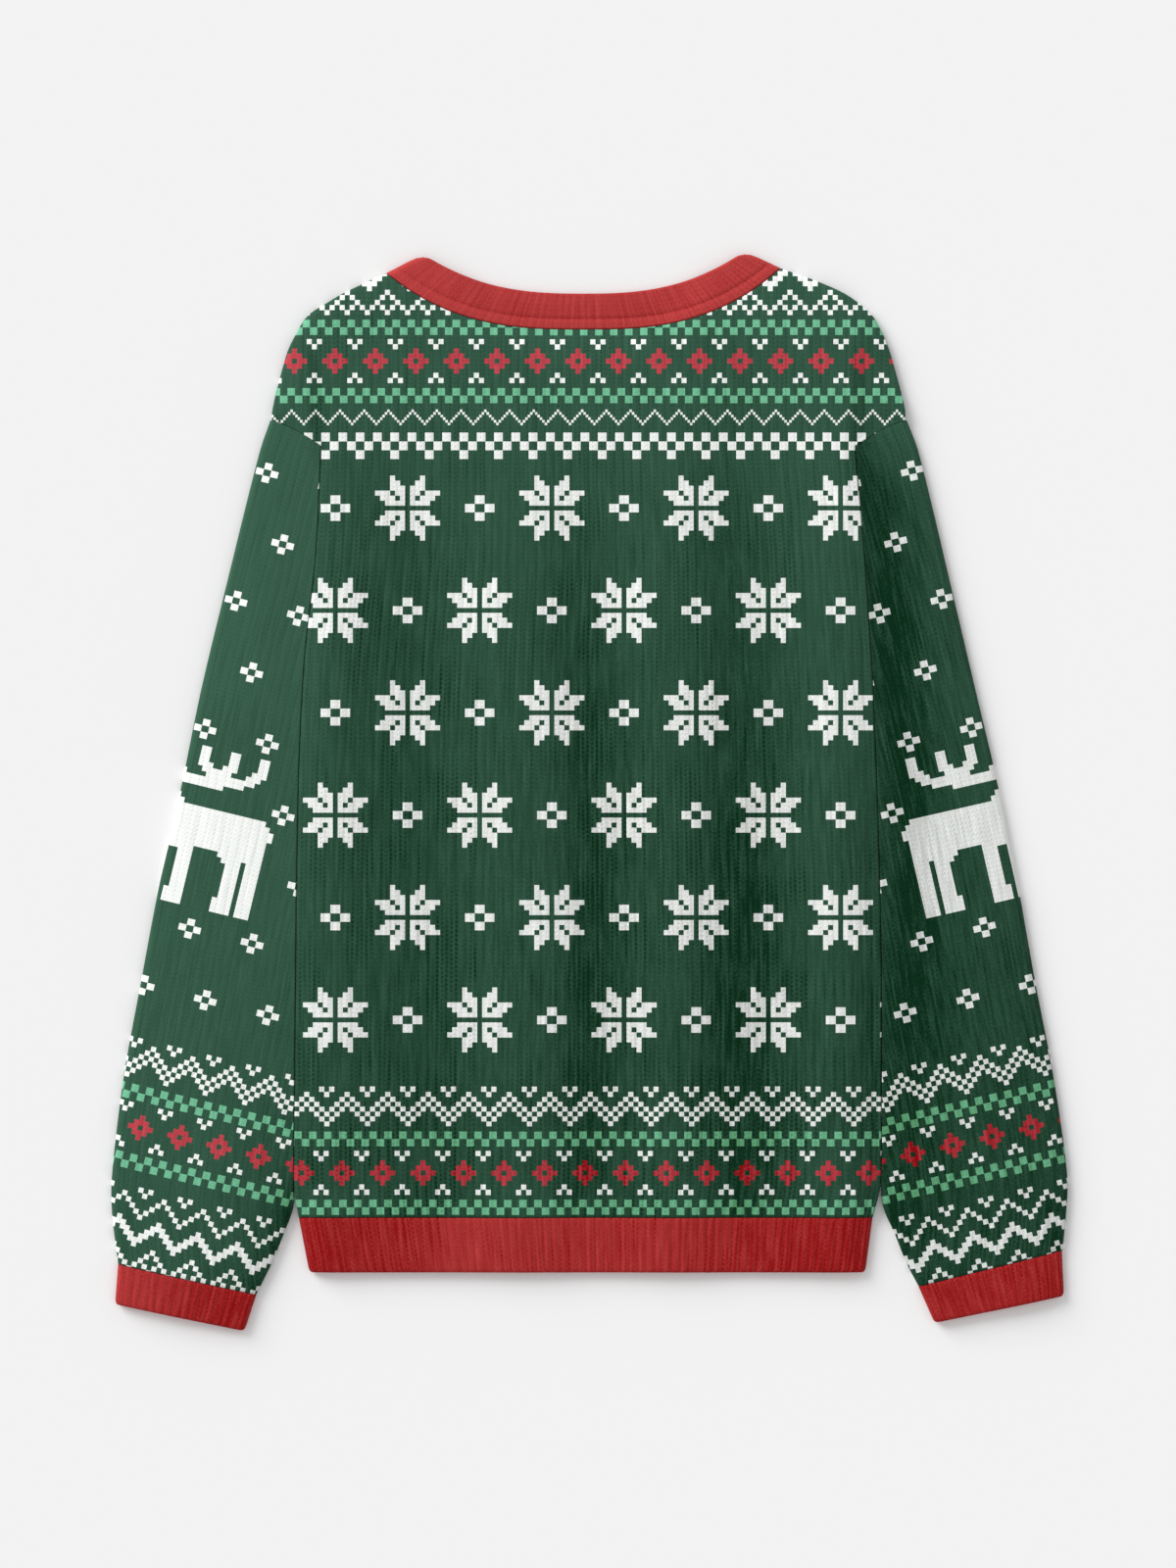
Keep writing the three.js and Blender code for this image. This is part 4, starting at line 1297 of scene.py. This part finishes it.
def linear(red, green, blue):
    """A colour given by its display values of 0 to 255."""
    values = [value / 255 for value in (red, green, blue)]
    return tuple(v / 12.92 if v < 0.04045 else ((v + 0.055) / 1.055) ** 2.4 for v in values) + (1,)


DEEPEST = 1.4  # painted shade, with the texture, at which a yarn has its shaded colour

# Each yarn in its own lit colour, and a darker copy of it as painted shade
YARN_LIGHT_AND_SHADE = {
    "green": (linear(56, 93, 74), linear(3, 42, 21)),
    "white": (linear(250, 253, 250), linear(190, 193, 190)),
    "mint": (linear(119, 194, 157), linear(80, 138, 96)),
    "red": (linear(196, 74, 84), linear(133, 4, 12)),
    "rib": (linear(183, 64, 63), linear(140, 14, 15)),
}
DEPTH_CURVE = 0.75
SHADE_CONTRAST = 0.9  # how much more the texture shows where the painted shade is deep

# Where the dark lines of the knit lie, painted shade in the grooves between ribs and down each rib's middle,
# from the middle of a rib at 0 to its groove at 1
GROOVE_SPAN = (0.6, 0.95)
NOTCH_SPAN = (0.04, 0.3)
LINE_SHIFT = 2.2  # how far the dots of a notch line lag behind those of a groove line
PATCH_NOISE = 26  # the lines come and go in patches
PATCH_SPAN = (0.4, 0.62)
LINE_MEAN = 0.12
STRIPE_DETAIL = 2
NARROW_STRIPES = (2.6, (1, 0.04, 1))  # noise scale in ribs, and its stretch along the ribs
WIDE_STRIPES = (0.9, (1, 0.07, 1))
FIBRE_NOISE = 700
WEIGHTS = {"groove": 1.3, "notch": 1.1, "narrow": 1.5, "wide": 0.6, "fibre": 0.9}
BUMP_HEIGHT = 0.0004
BUMPS = {"pattern": 0.45, "rib": 0.4}
SHEEN = 0.05
ROUGHNESS = (0.84, 0.12)  # least, and what the fibres add


class Knit(Graph):
    """A material with painted shading from a mesh attribute, darker in the drape's hollows and lighter on
    its ridges, and the relief of its ribs, stitches and fibres. Its dark lines, painted shade in the grooves
    of the ribs, have a strength, and its whole texture has a contrast."""

    def __init__(self, name, shade_line_strength, contrast):
        super().__init__(name)
        ribs, stitches = self.uv("Knit")
        from_middle = abs(ribs.fraction() - 0.5) * 2
        self.groove = from_middle.ramp(*GROOVE_SPAN)
        notch = 1 - from_middle.ramp(*NOTCH_SPAN)
        turn = 2 * math.pi
        dots = 0.5 + 0.5 * (stitches * turn).wave()
        half_dots = 0.5 + 0.5 * (stitches * turn + LINE_SHIFT).wave()
        shown = 0.25 + 0.75 * self.noise(PATCH_NOISE, 2).ramp(*PATCH_SPAN)
        # Dotted lines of painted shade in the grooves between ribs and down each rib's middle
        groove_shade = self.groove * (0.2 + 0.8 * dots) * (0.35 + 0.65 * self.scatter((ribs + 0.5).floor()))
        notch_shade = notch * (0.1 + 0.9 * half_dots) * self.scatter(ribs.floor() + 0.5)
        lines = groove_shade * WEIGHTS["groove"] + notch_shade * WEIGHTS["notch"]
        lines = lines * shown - LINE_MEAN
        narrow = self.stripes(*NARROW_STRIPES)
        wide = self.stripes(*WIDE_STRIPES)
        self.fibre = self.noise(FIBRE_NOISE, 3)
        strand = abs((ribs * 2).fraction() - 0.5)
        self.leg = ((stitches + strand).fraction() * math.pi).wave()
        # Painted shading of each point: darker in the drape's hollows, towards the bottom and on faces that
        # lie down, lighter on its ridge
        tone = self.attribute("PaintedShading")
        texture = lines * shade_line_strength + narrow * WEIGHTS["narrow"] + wide * WEIGHTS["wide"]
        texture = texture + (self.fibre - 0.5) * WEIGHTS["fibre"]
        # Painted shade with the texture, from 0 at the yarn's lit colour to 1 at its shaded copy
        shade_and_texture = (tone + texture * (contrast + tone * SHADE_CONTRAST)) * (1 / DEEPEST)
        self.shade_and_texture = self.math("POWER", self.math("MAXIMUM", shade_and_texture, 0.0), DEPTH_CURVE)

    def stripes(self, scale, stretch):
        return self.noise(scale, STRIPE_DETAIL, "Knit", stretch) - 0.5

    def yarn(self, name):
        # The yarn's lit colour, darkened towards its painted shaded copy
        light, dark = YARN_LIGHT_AND_SHADE[name]
        return self.mix(self.shade_and_texture, light, dark)

    def finish(self, colour, bump):
        surface = self.surface.inputs
        self.feed(surface["Base Color"], colour)
        self.feed(surface["Roughness"], ROUGHNESS[0] + ROUGHNESS[1] * self.fibre)
        surface["Specular IOR Level"].default_value = SHEEN
        surface["Sheen Weight"].default_value = SHEEN
        surface["Sheen Roughness"].default_value = 0.5
        relief = self.node("ShaderNodeBump")
        relief.inputs["Strength"].default_value = bump
        relief.inputs["Distance"].default_value = BUMP_HEIGHT
        self.feed(relief.inputs["Height"], self.leg * 0.6 + self.fibre * 0.5 - self.groove * 0.5)
        self.tree.links.new(relief.outputs["Normal"], surface["Normal"])
        return self.material


def patterned_knit(name, motifs, shade_line_strength, contrast):
    knit = Knit(name, shade_line_strength, contrast)
    x, y = knit.uv("Chart", 1000)
    shares = motifs(knit, x, y)
    colour = knit.yarn("green")
    for yarn in ("mint", "red", "white"):
        colour = knit.mix(shares[yarn], colour, knit.yarn(yarn))
    return knit.finish(colour, BUMPS["pattern"])


def rib_knit():
    knit = Knit("red rib knit", shade_line_strength=0.7, contrast=0.4)
    return knit.finish(knit.yarn("rib"), BUMPS["rib"])


# Sweater

body_knit = patterned_knit("body knit", body_motifs, shade_line_strength=1.0, contrast=0.25)
sleeve_knit = patterned_knit("sleeve knit", sleeve_motifs, shade_line_strength=0.4, contrast=0.3)
red_knit = rib_knit()

pieces = {
    "back_panel": add_back(body_knit),
    "front_panel": add_front(body_knit),
    "sleeve_left": add_sleeve("left", sleeve_knit),
    "sleeve_right": add_sleeve("right", sleeve_knit),
    "cuff_left": add_cuff("left", red_knit),
    "cuff_right": add_cuff("right", red_knit),
    "hem_band": add_hem(red_knit),
    "neckband": add_neckband(red_knit),
}


# Floor, light and camera

FLOOR_SIZE = 8.0
FLOOR_LEVEL = -0.0002
FLOOR_COLOUR = (0.88, 0.88, 0.88, 1)
WORLD_STRENGTH = 0.66
KEY_LIGHT = {"azimuth": 135, "elevation": 24, "strength": 2.71, "angle": 36}


def add_floor():
    mesh = bpy.data.meshes.new("floor")
    half = FLOOR_SIZE / 2
    corners = [(-half, -half), (half, -half), (half, half), (-half, half)]
    mesh.from_pydata([(x, y, FLOOR_LEVEL) for x, y in corners], [], [(0, 1, 2, 3)])
    graph = Graph("pale floor")
    graph.surface.inputs["Base Color"].default_value = FLOOR_COLOUR
    graph.surface.inputs["Roughness"].default_value = 0.95
    graph.surface.inputs["Specular IOR Level"].default_value = 0.1
    mesh.materials.append(graph.material)
    floor = bpy.data.objects.new("floor", mesh)
    bpy.context.scene.collection.objects.link(floor)


def add_sun(name, azimuth, elevation, strength, angle):
    """A light from a direction: azimuth counted from +X towards +Y, elevation above the floor."""
    light = bpy.data.lights.new(name, "SUN")
    light.energy = strength
    light.angle = math.radians(angle)
    sun = bpy.data.objects.new(name, light)
    tilt = math.radians(90 - elevation)
    sun.rotation_euler = (0, tilt, math.radians(azimuth))
    bpy.context.scene.collection.objects.link(sun)


def add_world(strength):
    world = bpy.data.worlds.new("soft studio")
    world.use_nodes = True
    background = world.node_tree.nodes["Background"]
    background.inputs["Color"].default_value = (1, 1, 1, 1)
    background.inputs["Strength"].default_value = strength
    bpy.context.scene.world = world


VIEW_CENTRE = (-0.0011, 0.0058)
VIEW_HEIGHT = 1.0811  # what the image's long side covers at the garment
CAMERA_DISTANCE = 3.2
GARMENT_LEVEL = 0.006
SENSOR = 36.0


def add_camera():
    camera = bpy.data.cameras.new("camera")
    camera.sensor_width = SENSOR
    camera.lens = SENSOR * CAMERA_DISTANCE / VIEW_HEIGHT
    view = bpy.data.objects.new("camera", camera)
    view.location = (*VIEW_CENTRE, GARMENT_LEVEL + CAMERA_DISTANCE)
    bpy.context.scene.collection.objects.link(view)
    bpy.context.scene.camera = view


bpy.context.scene.view_settings.view_transform = "Standard"
add_floor()
add_world(WORLD_STRENGTH)
add_sun("key", **KEY_LIGHT)
add_camera()

for node, piece in pieces.items():
    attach(piece, "root")
    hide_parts(node)
